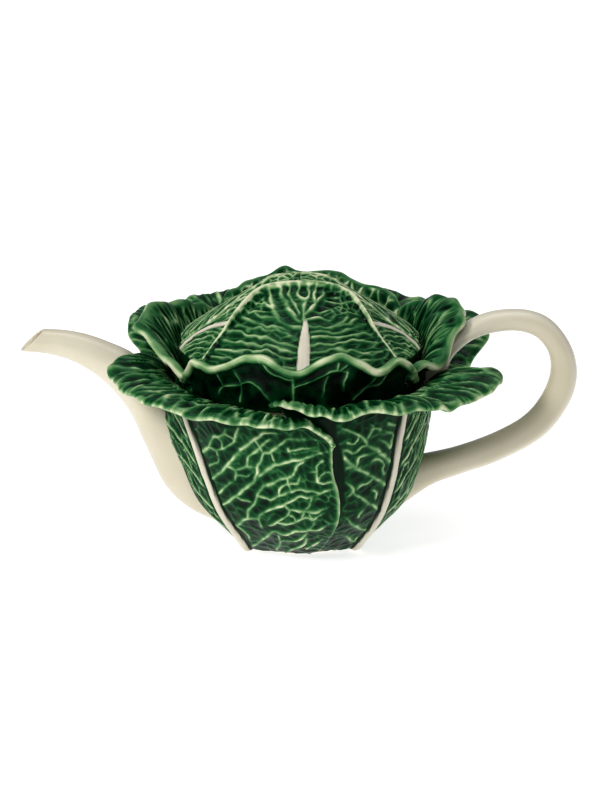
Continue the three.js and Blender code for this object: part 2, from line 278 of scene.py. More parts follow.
def grid_faces(ids, flip=False):
    corners = [ids[:-1, :-1], ids[:-1, 1:], ids[1:, 1:], ids[1:, :-1]]
    if flip:
        corners.reverse()
    return np.stack(corners, axis=-1).reshape(-1, 4)


def leaf_mesh(name, faces, fields, node, body):
    """A closed leaf from the grids of its outer and inner face, which share their border."""
    front, back = faces
    rows, cols = front.shape[:2]
    outside = np.arange(rows * cols).reshape(rows, cols)
    inside = outside.copy()
    inside[1:-1, 1:-1] = np.arange((rows - 2) * (cols - 2)).reshape(rows - 2, -1) + rows * cols
    corners = np.concatenate([grid_faces(outside), grid_faces(inside, flip=True)]).tolist()
    points = np.concatenate([front.reshape(-1, 3), back[1:-1, 1:-1].reshape(-1, 3)])
    values = {key: np.concatenate([f.ravel(), b[1:-1, 1:-1].ravel()])
              for key, (f, b) in fields.items()}
    piece(name, points, corners, values, [node], body, "green_glaze")


def steps(length, pitch):
    """Places from 0 to 1 about a pitch apart, closer together at the rim."""
    even = np.linspace(0, 1, int(length / pitch))
    last = RIM_ZONE / length
    edge = 1 - last * (1 - np.sin(np.linspace(0, math.pi / 2, RIM_ROWS)))
    return np.concatenate([even[even < 1 - last - 0.5 * pitch / length], edge])


class Sheet:
    """A leaf's middle surface with distances in mm to each of its edges."""

    def __init__(self, outside, depth, curl=0.0, curl_reach=6.0):
        """outside is the outer face, depth how far below it the middle lies, and curl how far
        the rim rolls outwards over its last curl_reach."""
        up = lengths(outside, 0)
        self.top = up[-1:] - up
        fold = np.clip(1 - self.top / curl_reach, 0, 1) ** 2
        self.middle = outside + normals(outside) * (curl * fold - depth)[..., None]
        self.normal = normals(self.middle)
        self.foot = up
        along_row = lengths(self.middle, 1)
        self.left, self.right = along_row, along_row[:, -1:] - along_row

    def density(self, level):
        """How much a level changes per mm over the leaf."""
        across = np.gradient(level, axis=1) / np.maximum(np.gradient(self.left, axis=1), 0.05)
        up = np.gradient(level, axis=0) / np.maximum(np.gradient(self.foot, axis=0), 0.05)
        return np.maximum(np.hypot(across, up), 1e-3)

    def border(self, reach):
        """0 on the border of the leaf, rising to 1 at a distance, as a round edge does."""
        full = np.sqrt(1 - (1 - np.clip(self.foot / FOOT_ROUND, 0, 1)) ** 2)
        for edge in (self.top, self.left, self.right):
            near = np.clip(edge / reach, 0, 1)
            full = full * np.sqrt(1 - (1 - near) ** 2)
        return full

    def build(self, name, node, body, outer, inner, cream=None, thickness=LEAF, bead=0.6,
              roll_light=0.2, roll_reach=4.5, side_light=0.3):
        """outer and inner are each a face's relief and glaze, and cream is where the outer
        face is wiped. bead thickens the rim. roll_light is how pale the last roll_reach mm
        before the rim are, and side_light how pale the side edges are."""
        full = self.border(EDGE_ROUND)
        uneven = 0.85 + 0.45 * noise(self.left / 9, self.top / 9, 71)
        half = (thickness / 2 + bead * uneven * bump(self.top - 2.6, 2.2)) * full
        sides = np.minimum(self.left, self.right)
        light = np.maximum(roll_light * smooth(roll_reach * 1.5, roll_reach * 0.4, self.top),
                           side_light * bump(sides, 1.7))
        shade = 0.8 + 0.5 * noise(self.left / 7, self.top / 3, 72)
        light = light * shade + 0.3 * bump(self.top, 1.1)
        calm = 1 - 0.72 * smooth(roll_reach * 1.5, 1, self.top)
        faces, tints = [], []
        for (relief, glaze), sign in ((outer, 1), (inner, -1)):
            height = half + relief * calm * full
            faces.append(self.middle + self.normal * (sign * height)[..., None])
            standing = relief - blur(relief, 4)
            tints.append((glaze - RIM_GLAZE) * calm + RIM_GLAZE + 0.16 * standing + light)
        bare = 0 * full
        wiped = bare if cream is None else cream
        leaf_mesh(name, faces, {"glaze": tints, "cream": (wiped, bare)}, node, body)


# ---- Relief and glaze of the leaves, each a pair of relief in mm and glaze from 0 to 1 ----

def laid(face, other, w):
    """A face that turns into another one where w is 1."""
    return mix(face[0], other[0], w), mix(face[1], other[1], w)


def leaving(side, height, slope, bend, low=-120.0, high=320.0):
    """Height on the midrib, between low and high, where the side vein through each point
    leaves it. slope gives the rise of a vein over its run at the height where it leaves, and
    bend how it curves."""
    low, high = np.full(height.shape, low), np.full(height.shape, high)
    for _ in range(24):
        middle = (low + high) / 2
        above = middle + side * slope(middle) + bend * side ** 2 < height
        low, high = np.where(above, middle, low), np.where(above, high, middle)
    return low


def forked(level, density, side, key, seed, first=9.0, spread=24.0, drift=16.0):
    """Distance in mm to the nearest side vein, one on each whole level, and to the nearest
    twig. Each vein sends out one twig, somewhere along it, which drifts half a level away."""
    vein = np.abs(level - np.round(level)) / density
    twig = np.full(level.shape, FAR)
    for step in (-1, 0, 1):
        k = np.floor(level + 0.5).astype(np.int64) + step
        start = first + spread * dice(k, key, seed)
        turn = np.where(dice(k, key, seed + 1) > 0.4, 1, -1)
        away = turn * 0.5 * np.clip((side - start) / drift, 0, 1) ** 0.8
        d = np.abs(level - k - away) / density
        twig = np.where(side > start, np.minimum(twig, d), twig)
    return vein, twig


def blistered(leaf, side, level, key, seed, cell, strong=0.85, plain=0.34):
    """Raised side veins with twigs and a finer net between them, round sunken cells. side is
    the distance from the midrib, and a side vein runs along each whole level."""
    rows = 2
    density = leaf.density(level)
    vein, twig = forked(level, density, side, key, seed)
    p = side * math.sqrt(2) / cell + 0.3 * noise(side / 15, level, seed + 2) + 50 * key
    fine, _ = net(p, level * rows, seed, LOOSE, rows)
    fine = fine * np.clip(np.sqrt(cell / (rows * density)), 2, 12)
    reach = 1 - 0.55 * smooth(0, 60, side)
    patchy = 0.5 + 0.5 * noise(p * 0.9 + 3, level * rows * 0.9, seed + 3)
    core = np.maximum.reduce([reach * bump(vein, strong), 0.8 * reach * bump(twig, strong * 0.85),
                              (0.25 + 0.6 * patchy) * bump(fine, 0.62)])
    halo = np.maximum.reduce([bump(vein, 2.3), 0.8 * bump(twig, 2.0),
                              (0.35 + 0.5 * patchy) * bump(fine, 1.6)])
    nearest = np.minimum(np.minimum(vein, twig), fine)
    pool = smooth(0.8, 3.0, nearest)
    x, y = leaf.left / 4.5, leaf.foot / 4.5
    mottle = rough(x, y, seed + 9)
    dimple = noise(x * 1.3 + 9, y * 1.3, seed + 15) * pool
    relief = 0.75 * core + 0.35 * halo - 0.5 * pool + 0.12 * mottle + 0.14 * dimple
    # ring is a painted shadow: a darker band about 2.4 mm out from every vein, at the foot of its
    # relief.
    ring = bump(nearest - 2.4, 1.0)
    glaze = plain + 0.40 * core + 0.15 * halo - 0.09 * ring + 0.09 * mottle + 0.08 * dimple
    return relief, glaze


def cells(x, y, size, seed, plain=0.34, contrast=1.0, thin=0.62):
    """An irregular net of raised veins, for a leaf without a midrib of its own."""
    p = x / size + 0.25 * rough(x / 14, y / 14, seed)
    q = y / size + 0.25 * rough(x / 14 + 5, y / 14, seed + 1)
    fine, main = (d * size for d in net(p, q, seed, LOOSE, 2))
    patchy = 0.5 + 0.5 * noise(p * 0.8, q * 0.8, seed + 3)
    core = np.maximum(0.9 * bump(main, thin * 1.2), (0.3 + 0.6 * patchy) * bump(fine, thin))
    halo = np.maximum(bump(main, 1.9), (0.4 + 0.5 * patchy) * bump(fine, 1.6))
    pool = smooth(0.8, 3.0, np.minimum(main, fine))
    mottle = rough(x / 4.5, y / 4.5, seed + 9)
    relief = 0.75 * core + 0.35 * halo - 0.5 * pool + 0.12 * mottle
    glaze = plain + contrast * (0.40 * core + 0.15 * halo + 0.10 * mottle - 0.05 * pool)
    return relief, glaze


def drawn(across, up, x, y, paths, seed, cell=8.5, plain=0.2, faint=0.6, depth=1.0,
          wander=0.7):
    """A leaf whose main veins are drawn one by one, with a faint net in between. across and up
    are what the paths are drawn in, x and y are distances over the leaf."""
    core, halo = near_paths(across + wander * noise(across / 4, up / 4, seed + 31),
                            up + wander * noise(across / 4, up / 4, seed + 32), paths)
    small, tint = cells(x, y, cell, seed + 33)
    free = faint * (1 - halo)
    mottle = rough(x / 4.5, y / 4.5, seed + 9)
    uneven = 0.85 + 0.3 * noise(x / 5, y / 5, seed + 34)
    relief = depth * (uneven * core + 0.5 * halo - 0.35 + 0.7 * small * free + 0.1 * mottle)
    glaze = plain + 0.36 * core * uneven + 0.2 * halo + (tint - 0.34) * free + 0.09 * mottle
    return relief, glaze


def fan(x, y, seed, pitch=4.2, stretch=17.0, depth=1.0):
    """Long branching ridges that run towards the rim. x is across them and y along, in mm."""
    p = y / stretch + 0.35 * noise(x / 6, y / 9, seed)
    q = x / pitch + 0.4 * noise(x / 9, y / 13, seed + 1)
    fine, main = net(p, q, seed, 0.9, 1)
    line = np.minimum(fine * stretch * 0.35, main * pitch)
    ridge = bump(line, 0.85) * (0.6 + 0.4 * noise(x / 6, y / 8, seed + 4))
    valley = smooth(0.7, 2.0, line)
    mottle = rough(x / 5, y / 11, seed + 6)
    relief = depth * (ridge - 0.6 * valley) + 0.2 * mottle
    glaze = 0.34 + 0.46 * ridge - 0.16 * valley + 0.17 * mottle
    return relief, glaze


# ---- Materials ----

# Colours as they look on the screen, 0 to 255, from thick glaze to thin or from dull to bright.
GREEN_DEPTHS = [(0.0, (0, 8, 2)), (0.2, (1, 36, 14)), (0.38, (8, 62, 28)), (0.55, (40, 98, 52)),
                (0.72, (104, 148, 94)), (0.87, (168, 194, 142)), (1.0, (226, 228, 192))]
WIPED_TONES = [(0.3, (218, 211, 190)), (0.7, (229, 222, 204))]
CREAM_TONES = [(0.3, (225, 218, 199)), (0.7, (229, 223, 206))]
CREAM_DEPTHS = [(0.0, (176, 170, 124)), (0.6, (228, 222, 204)), (1.0, (255, 255, 252))]
CLAY_TONES = [(0.35, (196, 180, 150)), (0.65, (222, 208, 180))]


def linear(rgb):
    """A colour of the screen as linear light."""
    channels = [c / 255 for c in rgb]
    return [c / 12.92 if c <= 0.04045 else ((c + 0.055) / 1.055) ** 2.4 for c in channels] + [1]


class Finish:
    """A material that is put together from noise, colour ramps and the meshes' attributes."""

    def __init__(self, name):
        self.material = bpy.data.materials.new(name)
        self.material.use_nodes = True
        self.nodes = self.material.node_tree.nodes
        self.links = self.material.node_tree.links
        self.shader = self.nodes["Principled BSDF"].inputs

    def feed(self, socket, value):
        """Puts a number on a socket, or links another node's output to it."""
        if isinstance(value, (int, float)):
            socket.default_value = value
        else:
            self.links.new(value, socket)

    def attribute(self, name):
        node = self.nodes.new("ShaderNodeAttribute")
        node.attribute_name = name
        return node.outputs["Fac"]

    def noise(self, scale, detail):
        """Noise in the object's own space, in features per metre."""
        place = self.nodes.new("ShaderNodeTexCoord")
        node = self.nodes.new("ShaderNodeTexNoise")
        node.inputs["Scale"].default_value = scale
        node.inputs["Detail"].default_value = detail
        self.links.new(place.outputs["Object"], node.inputs["Vector"])
        return node.outputs["Fac"]

    def ramp(self, source, stops):
        node = self.nodes.new("ShaderNodeValToRGB")
        band = node.color_ramp
        while len(band.elements) < len(stops):
            band.elements.new(0.5)
        for element, (place, rgb) in zip(band.elements, stops):
            element.position = place
            element.color = linear(rgb)
        self.links.new(source, node.inputs["Fac"])
        return node.outputs["Color"]

    def maths(self, operation, a, b):
        node = self.nodes.new("ShaderNodeMath")
        node.operation = operation
        self.feed(node.inputs[0], a)
        self.feed(node.inputs[1], b)
        return node.outputs[0]

    def centred(self, source, amount):
        """Noise from 0 to 1, turned into a change of up to half the amount either way."""
        return self.maths("MULTIPLY", self.maths("SUBTRACT", source, 0.5), amount)

    def joined(self, first, second, share, blend):
        """Two colours as one, the second by its share."""
        node = self.nodes.new("ShaderNodeMix")
        node.data_type = "RGBA"
        node.blend_type = blend
        self.feed(node.inputs["Factor"], share)
        self.links.new(first, node.inputs[6])
        self.links.new(second, node.inputs[7])
        return node.outputs[2]

    def lift(self, height, strength, distance):
        """The finest unevenness, in metres."""
        node = self.nodes.new("ShaderNodeBump")
        node.inputs["Strength"].default_value = strength
        node.inputs["Distance"].default_value = distance
        self.links.new(height, node.inputs["Height"])
        self.links.new(node.outputs["Normal"], self.shader["Normal"])

    def coat(self, colour, patches, smoothest, roughest, gloss):
        """Glossy glaze, with its roughness from smoothest to roughest in patches."""
        self.links.new(colour, self.shader["Base Color"])
        node = self.nodes.new("ShaderNodeMapRange")
        node.inputs["To Min"].default_value = smoothest
        node.inputs["To Max"].default_value = roughest
        self.links.new(patches, node.inputs["Value"])
        self.links.new(node.outputs["Result"], self.shader["Roughness"])
        self.shader["Specular IOR Level"].default_value = gloss
        self.shader["IOR"].default_value = 1.5


def green_glaze():
    finish = Finish("green_glaze")
    fine, broad = finish.noise(900, 3), finish.noise(110, 4)
    change = finish.maths("ADD", finish.centred(fine, 0.07), finish.centred(broad, 0.16))
    depth = finish.maths("ADD", change, finish.attribute("glaze"))
    green, bare = finish.ramp(depth, GREEN_DEPTHS), finish.ramp(broad, WIPED_TONES)
    colour = finish.joined(green, bare, finish.attribute("cream"), "MIX")
    finish.coat(colour, broad, 0.16, 0.34, gloss=0.07)
    finish.lift(fine, 0.25, 0.0004)
    return finish.material


def cream_glaze():
    finish = Finish("cream_glaze")
    fine, broad = finish.noise(700, 3), finish.noise(60, 5)
    tone = finish.ramp(broad, CREAM_TONES)
    depth = finish.ramp(finish.attribute("glaze"), CREAM_DEPTHS)
    finish.coat(finish.joined(tone, depth, 0.6, "MULTIPLY"), broad, 0.2, 0.26, gloss=0.35)
    finish.lift(fine, 0.12, 0.0003)
    return finish.material


def bare_clay():
    finish = Finish("bare_clay")
    grain = finish.noise(1500, 4)
    finish.links.new(finish.ramp(grain, CLAY_TONES), finish.shader["Base Color"])
    finish.shader["Roughness"].default_value = 0.85
    finish.lift(grain, 0.3, 0.0003)
    return finish.material


FINISHES = {"green_glaze": green_glaze(), "cream_glaze": cream_glaze(), "bare_clay": bare_clay()}


# ---- Outer leaves ----

def polar(azimuth, radius, height):
    angle = np.radians(azimuth)
    return np.stack([radius * np.cos(angle), radius * np.sin(angle), height + 0 * angle], axis=-1)


def leaf_columns(left, middle, right, t, pitch):
    """Azimuths of a leaf's columns, as s from -1 to 1 from its left to its right edge and in
    degrees, and the number of the column on its midrib."""
    counts = [max(int(math.radians(abs(np.mean(edge) - np.mean(middle))) * WALL_RADIUS / pitch), 6)
              for edge in (left, right)]
    before, after = np.linspace(-1, 0, counts[0]), np.linspace(0, 1, counts[1])
    s = np.concatenate([before, after[1:]])[None, :]
    a, m, b = (along(edge, t)[:, None] for edge in (left, middle, right))
    return s, np.where(s < 0, m + (m - a) * s, m + (b - m) * s), len(before) - 1


WALL_SHARE = 0.68               # how much of a leaf's length lies on the wall
VEIN_BEND = -0.004              # how the side veins of the outer leaves bend down, per mm squared
FURROW = 5.0                    # width of the smooth furrow on each side of a midrib
CORNER = 5.0                    # how far the foot stands out at the midribs
HEEL = 3.5                      # and how much further it does at the very bottom
OUTER_LENGTH = 165              # about how long an outer leaf is, from foot to rim
LIP_RADIUS = 110                # about where its rim is
RIB_HALF_WIDTHS = [3.0, 2.7, 2.4, 2.1, 1.8, 1.4, 1.1]


def wall_and_lip(rim_table, azimuth, t, seed):
    """Radius and height over an outer leaf: up the wall, then out to the lip's wavy rim."""
    radius, height, shoulder = row_at(rim_table, azimuth)
    share = np.linspace(0, 1, 200)
    share = np.interp(shoulder, along(WALL, share)[:, 1], share)
    on_wall = along(WALL, share * np.clip(t / WALL_SHARE, 0, 1))
    from_r, from_z = np.moveaxis(along(WALL, share), -1, 0)
    arc = np.radians(azimuth) * LIP_RADIUS
    lively = smooth(84, 100, radius)
    radius = radius + 1.3 * lively * wave(arc / 12, seed + 40)
    height = height + 2.2 * lively + 1.6 * lively * wave(arc / 13, seed + 41)
    w = np.clip((t - WALL_SHARE) / (1 - WALL_SHARE), 0, 1)
    crest = np.maximum(height, from_z + 6) + 1
    ripple = np.sin(arc / 3.4 + 2.5 * wave(arc / 20, seed + 42))
    lip_r = arch(from_r, from_r + 3, radius, w)
    lip_z = arch(from_z, crest, height, w) + 0.8 * lively * w * w * ripple
    low = t <= WALL_SHARE
    return np.where(low, on_wall[..., 0], lip_r), np.where(low, on_wall[..., 1], lip_z)


def lip_face(leaf, azimuth, seed):
    """The inner face of an outer leaf: coarse and fine ridges that fan out over the lip."""
    x, y = np.radians(azimuth) * 100, leaf.top
    coarse = fan(x + 2.5 * noise(x / 15, y / 12, seed + 21), y, seed + 20, pitch=6.4, stretch=26)
    fine = fan(x + 3 * noise(x / 9, y / 9, seed + 23), y, seed + 22, pitch=3.6, stretch=13,
               depth=0.35)
    return coarse[0] + fine[0], 0.6 * coarse[1] + 0.4 * fine[1]


def outer_leaf(name, node, rim_table, left, middle, right, seed, over=0.0, under=0.0,
               slopes=(0.8, 0.95), pitch=0.8, veins=None, drawn_side=1, covered=None, lap=0.0):
    """A leaf of the pot: its back lies on the wall and its lip flares out over it. Rows of
    rim_table are azimuth, radius, height and the height where the lip leaves the wall. left,
    middle and right are azimuths of its edges and midrib, from the foot up. over and under
    lift its right and left edges off the wall, where it lies over its neighbours, and covered
    is the edge of a leaf that lies over this one, beside which a shadow is painted. lap pushes
    the left side out where it laps on the spout. slopes are those of the side veins to the left
    and right of the midrib, and veins are drawn ones, on one side of it."""
    t = steps(OUTER_LENGTH, pitch)
    s, azimuth, centre = leaf_columns(left, middle, right, t, pitch)
    t = t[:, None]
    r, z = wall_and_lip(rim_table, azimuth, t, seed)
    r = r + over * smooth(0.5, 0.85, s) + under * smooth(-0.6, -0.9, s)
    r = r + lap * smooth(-0.3, -0.75, s) * smooth(50, 80, z) * smooth(112, 100, z)
    off_rib = np.radians(azimuth - azimuth[:, centre:centre + 1]) * r
    r = r + CORNER * bump(off_rib, 12) * smooth(32, 0, z) + HEEL * bump(off_rib, 9) * smooth(8, 0, z)
    leaf = Sheet(polar(azimuth, r, z), LEAF / 2, curl=3.2, curl_reach=9)

    # The side veins on the outer face.
    x = leaf.left - leaf.left[:, centre:centre + 1]
    y, side, key = leaf.foot, np.abs(x), (x < 0).astype(np.int64)
    slope = np.where(x < 0, slopes[0], slopes[1])
    start = leaving(side, y, lambda m: slope * np.interp(m, [0, 60, 110], [0.75, 1, 1.15]),
                    VEIN_BEND)
    level = start / 17 + 0.22 * rough(x / 20, y / 20, seed) + 0.08 * noise(x / 5, y / 5, seed + 1)
    relief, glaze = blistered(leaf, side, level, key, seed, cell=11)
    if veins:
        own = drawn(leaf.middle[..., 0], leaf.middle[..., 2], x, y, veins, seed)
        facing = smooth(-1, 1, x * drawn_side)
        relief, glaze = laid((relief, glaze), own, facing)
        glaze = glaze + 0.06 * facing * smooth(25, 55, side)

    # The wiped midrib between its furrows.
    rib_half = along(RIB_HALF_WIDTHS, t)
    rib = rib_shape(side, rib_half + 0.7)
    furrow = smooth(rib_half + FURROW, rib_half + 1.5, side) * (1 - rib)
    relief = relief * (1 - np.maximum(rib, 0.85 * furrow)) + 1.8 * rib - 0.7 * furrow
    cream = smooth(rib_half + 0.4, rib_half - 0.1, side) * smooth(1.04, 0.96, t / WALL_SHARE)
    glaze = mix(glaze, 0.24, furrow * 0.9)

    # Darker glaze in the bend under the lip, a calm dark band along the left edge where the leaf
    # laps on the spout, a calm pale raised edge where it lies over a neighbour, and a painted
    # shadow beside the edge of a leaf that lies over this one.
    glaze = mix(glaze, 0.2, 0.6 * smooth(94, 103, z) * smooth(5, 12, leaf.top))
    face = relief, glaze
    if lap:
        face = laid(face, (0.3, 0.14), smooth(6, 2.5, leaf.left) * smooth(108, 98, z))
    if over:
        face = laid(face, (1.1, 0.6), bump(leaf.right - 1.3, 2.2) * smooth(8, 45, z))
    # Where covered is given, a painted shadow darkens the strip beside that leaf's edge; the slight
    # sink there is real relief.
    if covered:
        past_edge = np.radians(azimuth - along(covered, t)) * r
        face = laid(face, (-0.5, 0.14), smooth(2.6, 0.8, past_edge))
    ridges, streaks = lip_face(leaf, azimuth, seed)
    leaf.build(name, node, "pot", face, (ridges * smooth(0.45, 0.6, t), streaks), cream, bead=0.5,
               side_light=0.42)


FRONT_LEFT_RIM = [
    (168, 98, 113, 104), (176, 103, 117, 104), (184, 114, 119, 104), (192, 122, 119, 104),
    (201, 125, 116, 104), (212, 124, 113, 104), (225, 120, 110, 104), (240, 113, 108, 104),
    (252, 108, 106, 103), (262, 104, 105, 101), (268, 100, 104.5, 98), (272, 96, 102.5, 95),
    (276, 92, 99.5, 92), (280, 89, 95, 88), (285, 86.5, 88, 82)]
FRONT_RIGHT_RIM = [
    (256, 86, 115, 104), (262, 92, 115, 104), (268, 99, 114, 104), (275, 104, 112, 104),
    (283, 106, 110.5, 104), (295, 110, 111, 104), (305, 116, 111.5, 104), (318, 123, 110.5, 104),
    (328, 129, 111, 104), (336, 132.5, 113.5, 104), (343, 133, 115.5, 104),
    (348, 126, 114.5, 104), (353, 114, 109, 104), (360, 100, 105.5, 104)]
BACK_RIGHT_RIM = [
    (-2, 97, 106, 104), (4, 103, 107, 104), (9, 110, 110, 104), (14, 119, 114.5, 104),
    (19, 126, 119.5, 104), (25, 126, 126.5, 104), (34, 122, 129, 104), (45, 120, 127, 104),
    (60, 114, 131, 104), (75, 108, 130, 104), (88, 104, 126, 104), (98, 98, 119, 104)]
BACK_LEFT_RIM = [
    (82, 98, 119, 104), (93, 104, 127, 104), (106, 108, 131, 104), (120, 112, 131, 104),
    (136, 117, 127, 104), (147, 118, 131, 104), (157, 116, 132, 104), (166, 112, 127, 104),
    (174, 103, 119, 104), (182, 96, 113, 104)]

# The veins on the two leaves that meet at the front, as width at the start and at the end, and
# points across from the pot's axis and up from the table.
FRONT_LEFT_VEINS = [
    (1.4, 1.0, [(-59, 74), (-56, 80), (-52.5, 87), (-49.5, 87.5), (-46, 91), (-45.5, 95)]),
    (0.8, 0.8, [(-46, 91), (-40.5, 89), (-40, 87), (-46.5, 81), (-48, 84.5), (-50, 87)]),
    (0.9, 1.1, [(-40, 87.5), (-38.5, 92), (-37.5, 97)]),
    (0.8, 0.9, [(-46.5, 81), (-51, 79), (-56, 79.5), (-59, 75)]),
    (0.6, 0.5, [(-51, 79), (-49.5, 74)]),
    (0.9, 1.9, [(-54, 57), (-47.5, 65), (-44.5, 69.5), (-39.5, 76.5), (-36, 83)]),
    (1.8, 0.8, [(-36, 83), (-28.5, 89), (-23.5, 94.5), (-19.5, 96), (-12, 95)]),
    (1.1, 0.9, [(-44.5, 69.5), (-39, 67), (-38.5, 64), (-41, 60)]),
    (1.0, 1.0, [(-39, 67), (-35, 69.5), (-32, 71), (-27, 70.5)]),
    (1.0, 1.2, [(-32, 71), (-31.5, 78), (-29, 80), (-24.5, 84), (-20, 89.5), (-16.5, 91.5)]),
    (0.7, 0.9, [(-27, 89.5), (-24, 85.5), (-22, 80.5)]),
    (0.8, 0.5, [(-38.5, 64), (-33, 64.5), (-29.5, 67)]),
    (1.1, 1.8, [(-47.5, 39), (-39, 48.5), (-31, 58), (-27.5, 62), (-24.5, 66)]),
    (1.6, 0.8, [(-24.5, 66), (-18.5, 71.5), (-14.5, 74.5), (-5, 77.5), (3, 80), (9.5, 82),
                (17.5, 84)]),
    (1.3, 1.0, [(-27, 63.5), (-26, 69), (-24, 76), (-22, 81), (-18, 82), (-15.5, 84.5),
                (-11.5, 88.5), (-8, 91.5), (-3, 93), (9, 92.5)]),
    (0.6, 0.5, [(-16.5, 82), (-15, 76)]),
    (0.7, 0.6, [(-39, 49), (-34, 47), (-28, 46.5)]),
    (0.7, 0.8, [(-54, 44), (-49, 49), (-45, 54), (-41, 60)]),
    (0.9, 1.1, [(-31.5, 34), (-31, 41), (-27.5, 46.5), (-25.5, 51.5), (-24.5, 55), (-22, 58.5),
                (-19.5, 60)]),
    (1.5, 1.2, [(-19.5, 60), (-14, 63.5), (-7.5, 66), (-4, 68.5)]),
    (0.8, 0.6, [(-4, 68.5), (-2.5, 73.5), (0.5, 76.5), (5, 78.5)]),
    (0.8, 1.2, [(-25.5, 51), (-20, 50), (-17.5, 49.5), (-12.5, 53.5), (-8, 54.5), (-5, 56.5)]),
    (0.8, 1.0, [(-5, 56.5), (2, 58.5), (11, 56), (16, 57.5), (20, 58.5)]),
    (0.7, 0.7, [(-12.5, 53.5), (-11.5, 58.5), (-7, 61.5), (-5, 56.5)]),
    (0.7, 0.6, [(-7, 61.5), (-7.5, 66)]),
    (0.7, 0.6, [(-7, 61.5), (-1, 62.5), (0, 68.5)]),
    (1.3, 1.2, [(-24, 37.5), (-16.5, 43.5), (-9, 46.5), (-3, 51), (2, 53.5), (6, 53), (12, 55)]),
    (0.9, 0.8, [(7, 52.5), (6, 47.5), (5, 45), (2.5, 42.5)]),
    (0.8, 0.7, [(-9, 46.5), (-6, 43), (-7, 39.5), (-10.5, 36)]),
    (0.8, 0.8, [(-6, 43), (2.5, 42.5), (9.5, 42), (13, 44), (17.5, 45)]),
    (0.8, 0.7, [(3, 42.5), (1, 38)]),
    (1.2, 1.0, [(-39, 26), (-36.5, 29.5), (-32, 34), (-25, 34.5), (-24, 37)]),
    (0.9, 0.7, [(-25, 34.5), (-23.5, 28.5)]),
    (0.7, 0.6, [(-39, 26), (-32, 19.5), (-31, 14)]),
    (0.8, 0.8, [(-18.5, 30.5), (-14, 33.5), (-11, 36), (-7.5, 38.5)]),
    (0.9, 0.8, [(-14, 33.5), (-12, 32.5), (-6, 33), (-3, 34.5), (1, 37.5), (5, 38), (8, 36.5),
                (11.5, 40), (15, 41.5)]),
    (0.7, 0.6, [(8, 36.5), (5, 41.5)]),
    (0.6, 0.6, [(-3, 34.5), (-3.5, 38), (-7, 39.5)]),
    (1.2, 1.0, [(-29, 9), (-26, 12.5), (-21, 19.5), (-15, 26), (-10.5, 23), (-5.5, 25),
                (-2.5, 27.5), (3, 28), (6, 30), (9, 34.5)]),
    (0.9, 0.8, [(-12.5, 22), (-12, 16.5), (-14, 10), (-14.5, 5)]),
    (0.8, 1.0, [(-12, 17), (-4, 17.5), (0.5, 20.5), (3, 23.5), (5, 29)]),
    (0.8, 0.8, [(-8, 5.5), (-2.5, 10.5), (2.5, 15.5), (4, 22)]),
    (0.6, 0.6, [(4, 12), (9, 14.5), (14, 20)]),
    (0.7, 0.5, [(5, 29), (10, 28), (17, 32)]),
    (0.9, 0.7, [(10, 71), (10.5, 64.5), (12, 67.5), (14, 69), (18.5, 70), (24, 66)]),
    (0.6, 0.5, [(10.5, 64.5), (14, 62.5), (19, 63.5), (24, 62)]),
    (0.7, 0.6, [(-7, 86.5), (-6, 85), (-2.5, 85.5), (2, 87), (9.5, 86.5)]),
    (0.6, 0.5, [(14, 78), (10, 74), (10, 71), (5, 70)]),
    (0.6, 0.5, [(-55, 66), (-50, 70), (-49.5, 74)]),
]
FRONT_RIGHT_VEINS = [
    (1.6, 1.9, [(57, 64), (54.5, 70), (51, 74.5), (48, 78)]),
    (1.8, 0.9, [(48, 78), (45, 81.5), (41.5, 84), (39.5, 88), (36, 91.5), (31.5, 95), (27, 97),
                (23, 98.5)]),
    (1.0, 1.1, [(42, 84), (37.5, 84), (35, 82), (32.5, 80.5), (28.5, 82.5), (24.5, 83)]),
    (0.9, 0.8, [(41, 89.5), (43.5, 92), (44.5, 95), (42.5, 98)]),
    (0.8, 0.7, [(43.5, 94), (47, 94.5), (50, 92)]),
    (1.5, 1.0, [(54.5, 79.5), (51.5, 83.5), (48.5, 86.5)]),
    (1.0, 0.8, [(54.5, 79.5), (56, 84), (56, 87.5), (51.5, 91.5)]),
    (1.1, 1.2, [(58, 93), (54, 95), (53, 97)]),
    (1.4, 2.0, [(54, 50), (50.5, 56), (45.5, 60.5), (41, 64.5)]),
    (1.9, 1.5, [(41, 64.5), (36.5, 68.5), (33.5, 70.5), (28.5, 75), (25.5, 78.5), (24, 81)]),
    (0.8, 1.1, [(34, 70.5), (35.5, 75), (37, 77.5), (41, 77.5), (45.5, 78)]),
    (0.8, 0.6, [(33.5, 70.5), (27.5, 70.5)]),
    (0.9, 0.6, [(51.5, 62), (50.5, 66), (51.5, 69), (47, 73.5), (43, 72.5)]),
    (0.9, 0.8, [(44.5, 60), (41, 58), (36.5, 57), (34, 53.5)]),
    (1.2, 1.4, [(49, 35), (44.5, 40.5), (41.5, 42.5)]),
    (1.4, 0.9, [(41.5, 42.5), (38.5, 46.5), (35, 50), (32.5, 54), (30.5, 57.5), (28, 60)]),
    (0.8, 0.6, [(32.5, 53), (28.5, 50)]),
    (0.7, 0.5, [(46, 45), (47, 49.5), (43.5, 52.5)]),
    (1.2, 1.0, [(43, 18.5), (39.5, 21.5), (36.5, 23.5), (34, 27.5), (30.5, 32), (28, 36)]),
    (0.7, 0.6, [(35.5, 34), (37, 37), (40, 38.5)]),
    (1.0, 0.9, [(37, 9), (33.5, 12), (31, 13.5), (28.5, 18), (25.5, 20.5)]),
    (0.7, 0.5, [(33.5, 12), (36, 17)]),
    (0.7, 0.6, [(29, 88), (33, 87), (36, 91.5)]),
]

# Azimuths of the edge where the front left leaf ends on the front right one, from the foot up.
FRONT_EDGE = [280.5, 284.5, 288.2, 289.4, 289.8, 288.2, 284.6, 284, 284.5, 284.5, 284.5]


